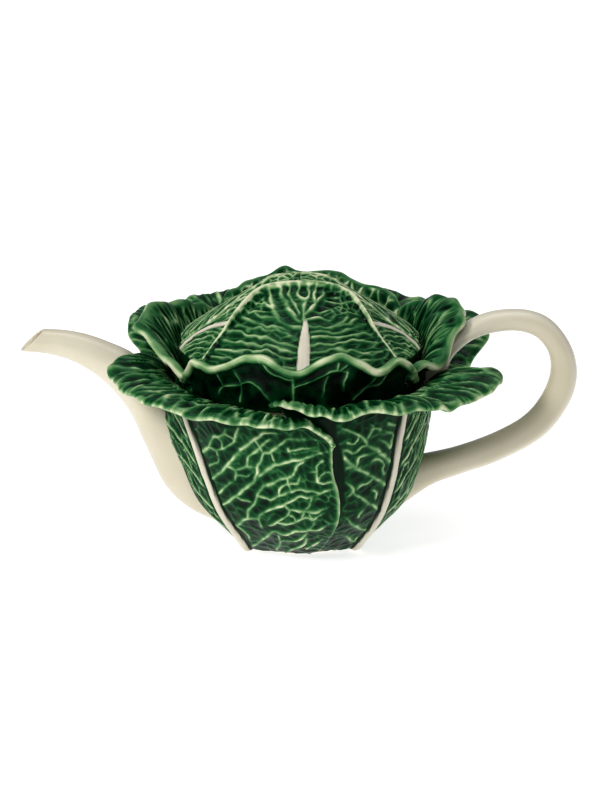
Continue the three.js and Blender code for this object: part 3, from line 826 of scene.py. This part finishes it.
def outer_leaves():
    outer_leaf("pot_leaf_back_right", "back_right_leaf", BACK_RIGHT_RIM,
               [-3, -3, -3, -3, -3, -2], [45, 45, 42, 42, 44, 44], [88, 94, 95, 95, 96, 96],
               31, pitch=1.05)
    outer_leaf("pot_leaf_back_left", "back_left_leaf", BACK_LEFT_RIM,
               [84, 86, 85, 85, 84, 84], [135, 135, 138, 138, 136, 136],
               [182, 182, 182, 182, 181, 180], 47, under=3.2, pitch=1.05)
    outer_leaf("pot_leaf_front_right", "front_right_leaf", FRONT_RIGHT_RIM,
               [270, 270, 268, 266, 261, 257],
               [323.7, 323, 320.5, 318.6, 318.7, 319.2, 320.5, 322.5, 324, 325, 326],
               [357, 357, 357, 358, 359, 360], 11, covered=FRONT_EDGE,
               slopes=(0.8, 1.25), veins=FRONT_RIGHT_VEINS, drawn_side=-1)
    outer_leaf("pot_leaf_front_left", "front_left_leaf", FRONT_LEFT_RIM,
               [214, 213, 209, 202, 196, 190.5, 188, 183, 177, 172, 170],
               [219, 221, 224.5, 223.7, 221, 216.4, 210.5, 205, 201, 199, 198],
               FRONT_EDGE, 5, over=3.3, lap=4.0,
               slopes=(1.25, 0.9), veins=FRONT_LEFT_VEINS, drawn_side=1)


# ---- The lid's leaves ----

LID_FOOT = (78.6, 106)          # radius and height where they start
LID_PITCH = 0.75
LID_RADIUS = 86
# Rows of rims are azimuth, radius and height. rise is how upright a leaf stands, and inside the
# veins on its inner face.
LID_LEAVES = {
    "lid_back_leaf": dict(
        rims=[(36, 84, 126), (39, 83, 134), (44, 82, 143), (52, 81, 146.5), (60, 80, 147),
              (67, 80, 150), (72, 79.5, 153.5), (79, 79, 154), (87, 79, 152), (92, 79, 152.5),
              (97, 80, 155.5), (104, 80, 151), (110, 80, 150), (115, 80, 148.5), (119, 80, 145),
              (124, 81, 143.5), (128, 83, 132), (131, 84, 126)],
        rise=0.6, seed=61, inside="cells", roll=2.4),
    "lid_left_leaf": dict(
        rims=[(122, 84, 124), (128, 85.5, 130.5), (134.5, 86, 136.5), (139, 87, 138.5),
              (142, 87, 138), (145, 88.5, 142), (149, 90, 144.5), (154, 92, 144),
              (160, 93, 146), (167, 98, 148.5), (172, 98.5, 146), (177, 100, 144),
              (181.7, 103, 142), (187, 97.5, 140), (193.4, 95, 136), (199, 92.5, 131),
              (206.7, 89, 128), (212.5, 86, 121)],
        rise=0.5, seed=71, inside="fan"),
    "lid_right_leaf": dict(
        rims=[(-36, 85, 121), (-33, 86.5, 125.5), (-27.5, 89, 128), (-21.5, 92.5, 124.5),
              (-16.5, 95.5, 126), (-12, 97, 131), (-8.5, 99, 138), (-5.5, 104, 144),
              (-2, 103.5, 146.5), (2.7, 104.5, 147), (8.4, 102, 149.8), (14, 100, 150.2),
              (21, 95, 150), (27.3, 91.5, 145), (35, 86, 141), (40, 83.5, 135), (44, 84, 126)],
        rise=0.88, seed=81, inside="fan"),
    "lid_front_leaf": dict(
        rims=[(208.5, 84, 118), (212, 85, 124), (218, 86, 133), (224, 86, 134.5),
              (229, 86, 133.5), (237, 86, 137), (245, 85, 143), (251, 85, 145.5),
              (256, 85, 144), (262, 84, 139), (269, 84, 136.5), (274, 84, 139.5),
              (281, 84, 144.5), (288, 84, 146), (295, 85, 141), (302, 86, 134.5),
              (308, 86, 134), (315, 86, 137), (320, 86, 134.5), (327, 85, 125), (331, 84, 118)],
        rise=0.6, seed=91, inside="fan"),
}

# Veins on the front of the lid's front leaf, across from its middle and up from the origin.
LID_FRONT_VEINS = [
    (1.3, 1.0, [(-5, 112), (-4, 122), (-5, 134)]),
    (0.7, 0.6, [(-5, 129), (-16, 132.5), (-22, 137), (-26, 143)]),
    (0.7, 0.7, [(-4, 124.5), (8, 128.5), (17, 132.5), (24, 134.5), (33, 132)]),
    (0.8, 0.6, [(24, 134.5), (25, 141)]),
    (0.7, 0.6, [(26, 134.5), (31, 139)]),
    (1.1, 0.7, [(31, 133), (29.5, 121)]),
    (0.8, 0.5, [(19, 131), (17, 126), (15, 118)]),
    (0.8, 0.6, [(37, 114), (46, 121), (52, 130)]),
    (0.7, 0.5, [(46, 121), (58, 123), (63, 133)]),
    (0.8, 0.6, [(-42, 112), (-41, 125), (-46, 134)]),
    (0.7, 0.5, [(-41, 125), (-31, 126), (-24, 119), (-19, 115)]),
    (0.7, 0.6, [(-41, 124), (-53, 121), (-60, 114)]),
    (0.6, 0.5, [(-53, 121), (-58, 131)]),
]


def front_leaf_face(leaf, x, arc, z, seed):
    """The outer face of the lid's front leaf, with veins that are drawn one by one. Its near-black
    tone is partly dark glaze and partly painted shade, and the veins fade out under the rim as a
    painted shadow.
    """
    across = arc - math.radians(270) * LID_RADIUS + 0 * z
    veins, halo = near_paths(across + 1.2 * noise(across / 6, z / 6, 93),
                             z + 0.8 * noise(across / 5, z / 5, 94), LID_FRONT_VEINS)
    mottle = rough(x / 8, leaf.foot / 8, seed + 9)
    relief = 0.7 * veins + 0.3 * halo + 0.15 * mottle
    # The low base tone is partly painted shade, and smooth(3, 6, leaf.top) fades the veins near the
    # rim as a painted shadow under the roll.
    glaze = 0.07 + smooth(3, 6, leaf.top) * (0.42 * veins + 0.1 * halo) + 0.16 * mottle
    return relief, glaze


def lid_leaf(node, rims, rise, seed, inside, roll=5.5):
    """A leaf of the lid: it stands up round the dome and its thick rim rolls outwards."""
    start, end = rims[0][0], rims[-1][0]
    columns = int(math.radians(end - start) * LID_RADIUS / LID_PITCH)
    azimuth = np.linspace(start, end, columns)[None, :]
    t = steps(45, LID_PITCH)[:, None]
    radius, height = row_at(rims, azimuth)
    arc = np.radians(azimuth) * LID_RADIUS
    height = height + 0.8 * wave(arc / 8, seed + 50)
    radius = radius + 0.7 * wave(arc / 9, seed + 51)
    foot_r, foot_z = LID_FOOT
    r = arch(foot_r, foot_r + 1, radius, t)
    z = arch(foot_z, mix(foot_z, height, rise), height, t)
    off_handle = smooth(7, 16, np.abs((azimuth + 180) % 360 - 180))
    leaf = Sheet(polar(azimuth, r, z), LEAF / 2, curl=4.0 * off_handle, curl_reach=7)
    x, y = arc - arc.mean() + 0 * z, leaf.foot
    if node == "lid_front_leaf":
        outer = front_leaf_face(leaf, x, arc, z, seed)
    else:
        outer = cells(x, y, 13, seed, plain=0.12, contrast=0.8, thin=0.5)
    if inside == "fan":
        inner = fan(x * 1.05, y + 4 * noise(x / 12, y / 12, seed), seed + 5, depth=0.8)
    else:
        inner = cells(x, y, 6.5, seed + 5, plain=0.4, contrast=1.2)
    inner = laid((0, 0.34), inner, smooth(roll * 0.4, roll * 1.5, leaf.top))
    leaf.build("lid_leaf_" + node.split("_")[1], node, "lid", outer, inner, bead=1.3,
               roll_light=0.3 * min(roll / 5, 1), roll_reach=roll)


# ---- The heart on the dome ----

def dome_height(radius):
    return DOME_TOP - DOME_DROP * (np.maximum(radius, 0) / DOME_DROP_RADIUS) ** DOME_POWER


# Where the heart's leaves end on the dome, seen from above, from left to right.
HEART_RIM = [(-62, -45), (-54, -38), (-46.5, -31), (-36.5, -19), (-25, -9), (-12, -6), (0, -5.5),
             (12, -5.5), (24, -7), (33, -11.5), (41, -22), (48, -32.5), (55, -39), (62, -45)]
BACK_RIM = [(-76, -9), (-70, -9), (-60, -8.5), (-52, -6), (-44, 0), (-36, 7), (-26, 12),
            (-17, 13.4), (0, 14), (17, 13.4), (26, 12), (36, 7), (44, 0), (52, -6), (60, -8.5),
            (70, -9), (76, -9)]
# How far the front leaf's rim stands off the dome, by the distance from the middle.
HEART_CREST = [(0, 3.7), (12, 5.4), (20, 6.8), (27, 7.9), (33, 8.2), (38, 7.4), (43, 6.2), (49, 3.6),
               (56, 2.3), (62, 2)]
HEART_EDGE = 76.5               # radius where the heart's leaves end at the foot of the dome
# The midrib of a side leaf, seen from above.
WRAP_RIB = [(43, -24), (50, -19.5), (56, -15.5), (64.5, -12), (71, -14), (77, -21)]

# Veins of the heart's front leaf, as width at the start and end, and points across from the axis
# and up as they are seen from the front, from a little above.
HEART_VEINS = [
    (2.2, 1.8, [(3.3, 134), (3, 138), (2.6, 145), (2.4, 148)]),
    (1.7, 1.1, [(2.4, 148), (-0.7, 152.5), (0, 158), (0.3, 162.5)]),
    (1.7, 1.1, [(2.4, 148), (5.2, 151.5), (5.8, 156), (5, 162.5)]),
    (1.7, 1.2, [(4, 140), (8.7, 145), (13.4, 151), (15.5, 157.5)]),
    (1.4, 1.0, [(9, 145), (9, 150), (10, 155), (10.2, 160.5)]),
    (2.2, 3.4, [(-0.5, 131.5), (-6.5, 132.6), (-11.8, 136), (-15.3, 140), (-16, 145)]),
    (3.4, 1.8, [(-16, 145), (-18, 151), (-21.5, 159)]),
    (1.4, 1.2, [(-16, 143.5), (-22, 147), (-26, 154)]),
    (2.0, 2.9, [(0.5, 135), (-4.2, 138.5), (-6.5, 142.5), (-8.3, 147)]),
    (2.9, 1.6, [(-8.3, 147), (-11.2, 152), (-12.5, 157), (-14, 161.5)]),
    (1.6, 1.2, [(-0.7, 140), (-2.4, 145), (-5.3, 149.5), (-6.5, 156), (-7, 162.5)]),
    (1.6, 1.2, [(-36.5, 139), (-31, 135.6), (-24, 133), (-17, 132), (-10, 127.5), (-1, 123)]),
    (1.4, 1.8, [(-34, 144), (-29, 141), (-25, 143), (-23, 147)]),
    (1.2, 1.0, [(-29, 141), (-21, 138), (-14, 138.5)]),
    (1.2, 1.0, [(-17, 132), (-11, 131), (-6.5, 128)]),
    (1.3, 1.2, [(-45, 130), (-37, 128.5), (-28.8, 126), (-20.6, 125), (-12.4, 121.5), (-1, 119)]),
    (1.2, 1.0, [(-39, 133), (-32, 130.5), (-26, 131), (-20, 129), (-14, 129.5)]),
    (1.3, 1.2, [(-47.5, 124), (-37, 121.5), (-28.8, 121.5), (-19.4, 120), (-10, 117.5),
                (-1.2, 116)]),
    (1.2, 1.1, [(-52, 118), (-41.6, 117), (-31, 117), (-23, 117.5), (-14.7, 114.5), (-5, 112.5)]),
    (1.1, 1.0, [(-54, 113), (-44, 112), (-34, 113), (-24, 112), (-14, 110)]),
    (1.0, 1.0, [(-57, 108), (-45, 107), (-32, 108), (-18, 106), (-4, 107)]),
    (1.8, 1.2, [(5, 131.5), (13.4, 131), (21.6, 132.6), (27.4, 136), (31, 141)]),
    (1.3, 1.0, [(4.5, 135), (11, 137), (17, 135.6), (22, 139)]),
    (1.2, 0.9, [(21.6, 132.6), (29, 133.5), (36, 137)]),
    (1.3, 1.1, [(6.4, 127.5), (15.7, 128.5), (24, 129), (33.3, 132), (41.5, 134)]),
    (1.2, 1.1, [(6.4, 124), (17, 125.5), (26.3, 126), (36.8, 127.5), (46, 128.5)]),
    (1.2, 1.1, [(6.4, 120), (15.7, 120.5), (25, 121.5), (35.6, 124), (48, 122)]),
    (1.3, 1.1, [(6.4, 115.5), (13.4, 117), (21.6, 118), (29.8, 117), (39, 115.5), (51, 117)]),
    (1.1, 1.0, [(6, 111), (14.6, 113), (26, 112.5), (38, 110), (52, 112)]),
    (1.0, 1.0, [(5, 107), (16, 108), (30, 107), (44, 106), (56, 108)]),
]


def rim_line(table, x):
    return row_at(table, x)[0]


def heart_foot(x):
    """How far out the foot of the dome lies at each place across it."""
    return np.sqrt(HEART_EDGE ** 2 - x ** 2)


def over_dome(x, y, rise):
    return np.stack([x + 0 * y, y, dome_height(np.hypot(x, y)) + rise], axis=-1)


def heart_front():
    """The leaf that faces forwards, with a broad wiped midrib and a rolled rim as the grip."""
    x = np.linspace(-61, 61, 190)[None, :]
    t = steps(85, 0.62)[:, None]
    top = rim_line(HEART_RIM, x) + 0.6 * wave(x / 9, 3)
    y = mix(-heart_foot(x), top, t)
    away = top - y
    crest = rim_line(HEART_CREST, np.abs(x))
    rise = 2.1 - 0.9 * bump(away - 9, 6) + (crest - 2.1) * smooth(8, 0.5, away)
    leaf = Sheet(over_dome(x, y, rise + 1.3), 1.3, curl=1.8, curl_reach=5)
    px, py, pz = np.moveaxis(leaf.middle, -1, 0)
    up = leaf.foot
    seen = pz * math.cos(CAMERA_RISE) + py * math.sin(CAMERA_RISE)
    face = drawn(px, seen, px / 1.7, up, HEART_VEINS, 13, cell=5.2, plain=0.19, faint=1.0,
                 depth=1.25, wander=1.2)
    corner = smooth(19, 25, np.abs(px)) * smooth(136, 143, seen)
    relief, glaze = laid(face, cells(px, up, 4.4, 17, plain=0.3), 0.8 * corner)
    side = np.abs(px - np.interp(seen, [108, 134], [2.0, 3.3]))
    rib_half = np.interp(seen, [100, 118, 126, 132, 135, 150], [3.8, 3.5, 2.6, 1.5, 1.1, 0.8])
    rib = rib_shape(side, rib_half + 0.7) * smooth(140, 133, seen)
    relief = relief * (1 - rib) + 1.4 * rib
    cream = smooth(rib_half + 0.3, rib_half - 0.2, side) * smooth(137, 133, seen)
    # The band about 7 mm below the rim is darkened as a painted shadow under the rolled rim.
    glaze = np.maximum(glaze, 0.78 * rib) - 0.16 * bump(leaf.top - 7, 3)
    glaze = glaze + 0.08 * smooth(134, 146, seen) * relief
    crown = smooth(126, 142, seen)
    leaf.build("heart_front", "heart_front_leaf", "lid", (relief, glaze), (0.3 * relief, glaze),
               cream, thickness=2.6, bead=mix(0.25, 0.3, crown), roll_light=0.55,
               roll_reach=mix(1.5, 4.2, crown))


def heart_back():
    """The rear half of the heart. Its edge shows as a second layer behind the front leaf."""
    x = np.linspace(-75, 75, 170)[None, :]
    t = steps(75, 0.85)[:, None]
    edge = rim_line(BACK_RIM, x) + 0.8 * wave(x / 8, 8)
    y = mix(heart_foot(x), edge, t)
    crest = np.interp(np.abs(x), [0, 20, 28, 35, 45, 60], [6.3, 7.0, 4.4, 3.2, 2.4, 2.2])
    rise = 1.9 + (crest - 1.9) * smooth(16, 1, y - edge)
    leaf = Sheet(over_dome(x, y, rise + 1.1)[:, ::-1], 1.1, curl=0.8, curl_reach=3)
    relief, glaze = cells(leaf.middle[..., 0], leaf.foot, 7.5, 23)
    leaf.build("heart_back", "heart_back_leaf", "lid", (relief, glaze), (0 * relief, glaze),
               thickness=2.2, bead=0.2, roll_light=0.2, roll_reach=1.6)


def heart_wrap(name, node, sign, seed):
    """A side leaf of the heart, between the front and back ones, with a thin wiped midrib."""
    x = np.linspace(0, HEART_EDGE - 1, 130)[None, :]
    t = np.linspace(0, 1, 120)[:, None]
    front = rim_line(HEART_RIM, np.clip(x, -62, 62)) - 3
    front = np.where(x > 62, -48 - (x - 62), front)
    front = np.maximum(front, -heart_foot(x))
    back = np.minimum(rim_line(BACK_RIM, x) + 3, heart_foot(x))
    y = mix(front, back, t)
    crest = np.interp(x, [0, 20, 28, 35, 45, 60], [5.4, 6.1, 3.6, 2.4, 1.6, 1.0])
    rise = 0.9 + (crest - 0.9) * bump(y - rim_line(BACK_RIM, x) + 1, 10)
    leaf = Sheet(over_dome(sign * x, y, rise)[:, ::sign], 0.0)
    px, py = np.abs(leaf.middle[..., 0]), leaf.middle[..., 1]
    beyond = py - np.interp(px, *np.transpose(WRAP_RIB))
    side = np.abs(beyond)
    level = (76 - px - 1.8 * side) / 9.5 + 0.4 * rough(px / 9, py / 9, seed)
    face = blistered(leaf, side, level, (beyond < 0).astype(np.int64), seed, cell=7, strong=0.7,
                     plain=0.27)
    small = cells(px, py, 4.6, seed + 3, plain=0.42, thin=0.6)
    relief, glaze = laid(face, small, smooth(6, 12, beyond) * smooth(75, 40, px))
    rib = rib_shape(side, 2.6) * smooth(40, 44, px)
    relief = relief * (1 - rib) + 1.3 * rib
    cream = smooth(2.2, 1.7, side) * smooth(41, 45, px)
    leaf.build(name, node, "lid", (relief, glaze), (0 * relief, glaze), cream, thickness=1.6,
               bead=0.0, roll_light=0.0, side_light=0.0)


# ---- Turned parts ----

TURNED_SIDES = 144


def rounded(section, radius, turns=4):
    """Rounds every corner of a closed section."""
    points = np.asarray(section, float)
    out = []
    for i, corner in enumerate(points):
        arms = [points[i - 1] - corner, points[(i + 1) % len(points)] - corner]
        size = [np.linalg.norm(arm) for arm in arms]
        reach = min(radius, size[0] / 2.2, size[1] / 2.2)
        a, b = (corner + arm / length * reach for arm, length in zip(arms, size))
        out += [arch(a, corner, b, k / turns) for k in range(turns + 1)]
    return np.array(out)


def turned(name, section, nodes, body, slot, glaze=0.7, cream=None):
    """A body turned about Z from a closed section that may touch the axis. cream tells which
    points of the section are bare of green glaze."""
    angle = np.linspace(0, 2 * math.pi, TURNED_SIDES, endpoint=False)
    points, rings, wiped = [], [], []
    for k, (radius, height) in enumerate(section):
        count = 1 if radius < 1e-6 else TURNED_SIDES
        rings.append([len(points) + n % count for n in range(TURNED_SIDES)])
        points += [(radius * math.cos(a), radius * math.sin(a), height) for a in angle[:count]]
        wiped += [0 if cream is None else cream[k]] * count
    faces = []
    for low, high in zip(rings, rings[1:] + rings[:1]):
        for k in range(TURNED_SIDES):
            n = (k + 1) % TURNED_SIDES
            corners = list(dict.fromkeys([low[k], low[n], high[n], high[k]]))
            if len(corners) > 2:
                faces.append(corners)
    fields = {"glaze": np.full(len(points), glaze), "cream": np.array(wiped, float)}
    return piece(name, points, faces, fields, nodes, body, slot)


def wall_section(depth, low, high, count):
    """Radius and height at a depth behind the wall's outside, on a stretch of its length."""
    t = np.linspace(low, high, count)
    place = along(WALL, t)
    ahead = along(WALL, t + 0.001) - along(WALL, t - 0.001)
    ahead /= np.linalg.norm(ahead, axis=1, keepdims=True)
    return np.stack([place[:, 0] - ahead[:, 1] * depth, place[:, 1] + ahead[:, 0] * depth], axis=1)


def ring_section(inner, outer, low, high):
    """The section of a plain ring, with its corners rounded."""
    return rounded([(inner, low), (outer, low), (outer, high), (inner, high)], 1.2)


BOWL_DEPTH = 3.6                # how far the bowl lies behind the leaves' outer faces
BOWL_WALL = 4.5
FLOOR_UNDER = 4.3               # heights of the bowl's floor
FLOOR_TOP = 9
FOOT = (23, 31.3, 0, 4)         # a ring's inner and outer radius, and where it starts and ends
LEDGE = (66, 74.6, 99, 103.6)


def pot_inside():
    """The bowl with its floor, ledge for the lid, foot and strainer holes."""
    outside = wall_section(BOWL_DEPTH, 0.08, 1, 30)
    inside = wall_section(BOWL_DEPTH + BOWL_WALL, 0.2, 1, 30)
    outside[-1, 1] = inside[-1, 1] = WALL_TOP
    under = [(0, FLOOR_UNDER), (FOOT[1], FLOOR_UNDER)]
    floor = [(inside[0, 0] - 5, FLOOR_TOP + 0.2), (0, FLOOR_TOP)]
    section = np.concatenate([under, outside, inside[::-1], floor])
    pot = turned("bowl_shell", section, ["bowl"], "pot", "cream_glaze", 0.8)
    cut_strainer(pot)
    turned("foot", ring_section(*FOOT), ["foot_ring"], "pot", "bare_clay")
    turned("lid_ledge", ring_section(*LEDGE), ["lid_seat"], "pot", "cream_glaze", 0.75)


STRAINER_HEIGHT = 62
STRAINER_RING = 12              # radius of the ring of six holes round the middle one
HOLE_RADIUS = 3
HOLE_SIDES = 20


def cut_strainer(pot):
    """Seven round holes through the wall behind the spout."""
    points, faces = [], []
    centres = [(STRAINER_RING * math.cos(a), STRAINER_RING * math.sin(a))
               for a in [2 * math.pi * hole / 6 for hole in range(6)]] + [(0, 0)]
    for across, up in centres:
        base = len(points)
        for x in (-95, -55):
            points += [(x * MM, (across + HOLE_RADIUS * math.cos(a)) * MM,
                        (STRAINER_HEIGHT + up + HOLE_RADIUS * math.sin(a)) * MM)
                       for a in np.linspace(0, 2 * math.pi, HOLE_SIDES, endpoint=False)]
        for k in range(HOLE_SIDES):
            n = (k + 1) % HOLE_SIDES
            faces.append((base + k, base + HOLE_SIDES + k, base + HOLE_SIDES + n, base + n))
        faces.append(tuple(range(base, base + HOLE_SIDES)))
        faces.append(tuple(range(base + 2 * HOLE_SIDES - 1, base + HOLE_SIDES - 1, -1)))
    mesh = bpy.data.meshes.new("drills")
    mesh.from_pydata(points, [], faces)
    drills = add("drills", mesh)
    cut = pot.modifiers.new("strainer", "BOOLEAN")
    cut.operation = "DIFFERENCE"
    cut.solver = "EXACT"
    cut.object = drills
    bpy.context.view_layer.update()
    shape = pot.evaluated_get(bpy.context.evaluated_depsgraph_get())
    pot.data = bpy.data.meshes.new_from_object(shape)
    pot.modifiers.clear()
    bpy.data.objects.remove(drills)


DOME_UNDER = 0.6                # how far the shell lies under the heart's leaves
DOME_WALL = 4.0


def dome_section(edge, count, depth):
    radii = np.linspace(0, edge, count)
    return np.stack([radii, dome_height(radii) - depth], axis=1)


def lid_inside():
    """The dome's shell, a little under the heart's leaves, and the flange that locates it."""
    outside = dome_section(73.6, 26, DOME_UNDER)
    inside = dome_section(70, 24, DOME_UNDER + DOME_WALL)
    side = [(75, 127), (75, 107.9), (71, 107.9), (71, 122)]
    section = np.concatenate([outside, side, inside[::-1]])
    wiped = np.arange(len(section)) > len(outside) + 1
    turned("dome_shell", section, ["lid_dome"], "lid", "green_glaze", 0.22, wiped)
    plate = [(60.5, 91), (64.5, 91), (64.5, 104.6), (75, 104.6), (75, 107.6), (60.5, 107.6)]
    turned("locating_flange", rounded(plate, 1.2), ["lid_flange", "lid_skirt"], "lid",
           "cream_glaze", 0.75)


# ---- Spout and handle ----

def tube_rings(lower, upper, widths, places, sides, inset=0.0, fullness=1.0):
    """Oval rings between two rails in the XZ plane; below 1, fullness squares them up."""
    low, high = along(lower, places), along(upper, places)
    wide = along(np.asarray(widths, float), places) - inset
    middle, half = (low + high) / 2, (high - low) / 2
    size = np.linalg.norm(half, axis=1, keepdims=True)
    half = half / size * (size - inset)
    turn = np.linspace(0, 2 * math.pi, sides, endpoint=False)
    fullness = np.reshape(fullness * np.ones(len(low)), (-1, 1))
    up = np.sign(np.cos(turn)) * np.abs(np.cos(turn)) ** fullness
    out = np.sign(np.sin(turn)) * np.abs(np.sin(turn)) ** fullness
    x = middle[:, :1] + half[:, :1] * up
    z = middle[:, 1:] + half[:, 1:] * up
    return np.stack([x, wide[:, None] * out, z], axis=2)


def tube_faces(rings, sides):
    ids = np.arange(rings * sides).reshape(rings, sides)
    return grid_faces(np.concatenate([ids, ids[:, :1]], axis=1)).tolist()


def spout():
    """Hollow, with a thin rounded rim; the outside and the bore join at both ends."""
    sides = 96
    rails = SPOUT_LOWER, SPOUT_UPPER, SPOUT_WIDTHS
    places = np.linspace(0, 1, 150)
    outer = tube_rings(*rails, places, sides, fullness=0.68 + 0.32 * smooth(0.1, 0.5, places))
    lip = [tube_rings(*rails, np.array([1.0]), sides, SPOUT_WALL * (1 - math.cos(a)) / 2)
           + np.array([-1.0, 0, 0.15]) * math.sin(a) for a in np.linspace(0.5, 2.7, 6)]
    bore = tube_rings(*rails, np.linspace(0.995, 0, 110), sides, SPOUT_WALL)
    rings = np.concatenate([outer] + lip + [bore])
    faces = np.array(tube_faces(len(rings) + 1, sides)) % (len(rings) * sides)
    points = rings.reshape(-1, 3)
    tip = 0.2 * smooth(-150, -176, points[:, 0])
    root = 0.12 * smooth(-112, -96, points[:, 0])
    piece("spout_tube", points, faces.tolist(), {"glaze": 0.76 - tip - root}, ["spout"], "pot",
          "cream_glaze")


def handle():
    """A solid loop. Its glaze is thicker where it meets the leaves, and its inner side is darker and
    more olive, partly from thicker glaze and partly as painted shade.
    """
    sides = 72
    rings = tube_rings(HANDLE_LOWER, HANDLE_UPPER, HANDLE_WIDTHS, np.linspace(0, 1, 260), sides,
                       fullness=0.84)
    points = rings.reshape(-1, 3)
    faces = tube_faces(len(rings), sides)
    faces.append(list(range(sides))[::-1])
    faces.append(list(range(len(points) - sides, len(points))))
    turn, place = np.meshgrid(np.linspace(0, 2 * math.pi, sides, endpoint=False),
                              np.linspace(0, 1, len(rings)))
    # inner darkens the inner side of the loop: partly pooled glaze, partly painted shade.
    inner = smooth(0.85, 0.3, np.cos(turn)) * bump(place - 0.62, 0.3)
    root = bump(points[:, 0] - 80, 16)
    piece("handle_loop", points, faces, {"glaze": 0.92 - 0.3 * root - 0.65 * inner.ravel()},
          ["handle"], "pot", "cream_glaze")


# ---- Floor, light and camera ----

FLOOR_RADIUS = 16.0
FLOOR_SIDES = 64
FLOOR_HEIGHT = -0.0002          # just under the foot


def stage():
    """A plain pale floor, wide enough to fill the view from every side."""
    mesh = bpy.data.meshes.new("floor")
    edge = [(FLOOR_RADIUS * math.cos(a), FLOOR_RADIUS * math.sin(a), FLOOR_HEIGHT)
            for a in np.linspace(0, 2 * math.pi, FLOOR_SIDES, endpoint=False)]
    mesh.from_pydata(edge, [], [tuple(range(FLOOR_SIDES))])
    finish = Finish("floor")
    finish.shader["Base Color"].default_value = (0.6, 0.6, 0.6, 1)
    finish.shader["Emission Color"].default_value = (1, 1, 1, 1)
    finish.shader["Emission Strength"].default_value = 0.78
    finish.shader["Roughness"].default_value = 0.9
    mesh.materials.append(finish.material)
    add("floor", mesh)


def point_at(thing, place, aim):
    thing.location = place
    thing.rotation_euler = (Vector(aim) - Vector(place)).to_track_quat("-Z", "Y").to_euler()


def softbox(name, place, size, power, colour=(1, 1, 1)):
    data = bpy.data.lights.new(name, "AREA")
    data.shape = "RECTANGLE"
    data.size, data.size_y = size
    data.energy = power
    data.color = colour
    point_at(add(name, data), place, (0, 0, 0.1))


def lights():
    """A key light on the left and a weaker one overhead, in an even pale room."""
    softbox("key", (-1.1, -1.3, 1.2), (0.55, 0.55), 21, (1.0, 0.99, 0.97))
    softbox("top", (0.1, 0.3, 1.8), (1.3, 0.9), 11)
    world = bpy.data.worlds.new("studio")
    world.use_nodes = True
    room = world.node_tree.nodes["Background"].inputs
    room["Color"].default_value = (0.94, 0.96, 1.0, 1)
    room["Strength"].default_value = 0.25
    bpy.context.scene.world = world
    bpy.context.scene.view_settings.view_transform = "Standard"


def camera():
    data = bpy.data.cameras.new("camera")
    data.sensor_fit = "HORIZONTAL"
    data.sensor_width = 36
    data.lens = data.sensor_width * CAMERA_DISTANCE / VIEW_WIDTH
    thing = add("camera", data)
    back, up = math.cos(CAMERA_RISE), math.sin(CAMERA_RISE)
    place = Vector(CAMERA_AIM) + CAMERA_DISTANCE * Vector((0, -back, up))
    point_at(thing, place, CAMERA_AIM)
    bpy.context.scene.camera = thing


outer_leaves()
for lid_node, facts in LID_LEAVES.items():
    lid_leaf(lid_node, **facts)
heart_front()
heart_back()
heart_wrap("heart_wrap_left", "heart_left_wrap", -1, 29)
heart_wrap("heart_wrap_right", "heart_right_wrap", 1, 37)
pot_inside()
lid_inside()
spout()
handle()
stage()
lights()
camera()
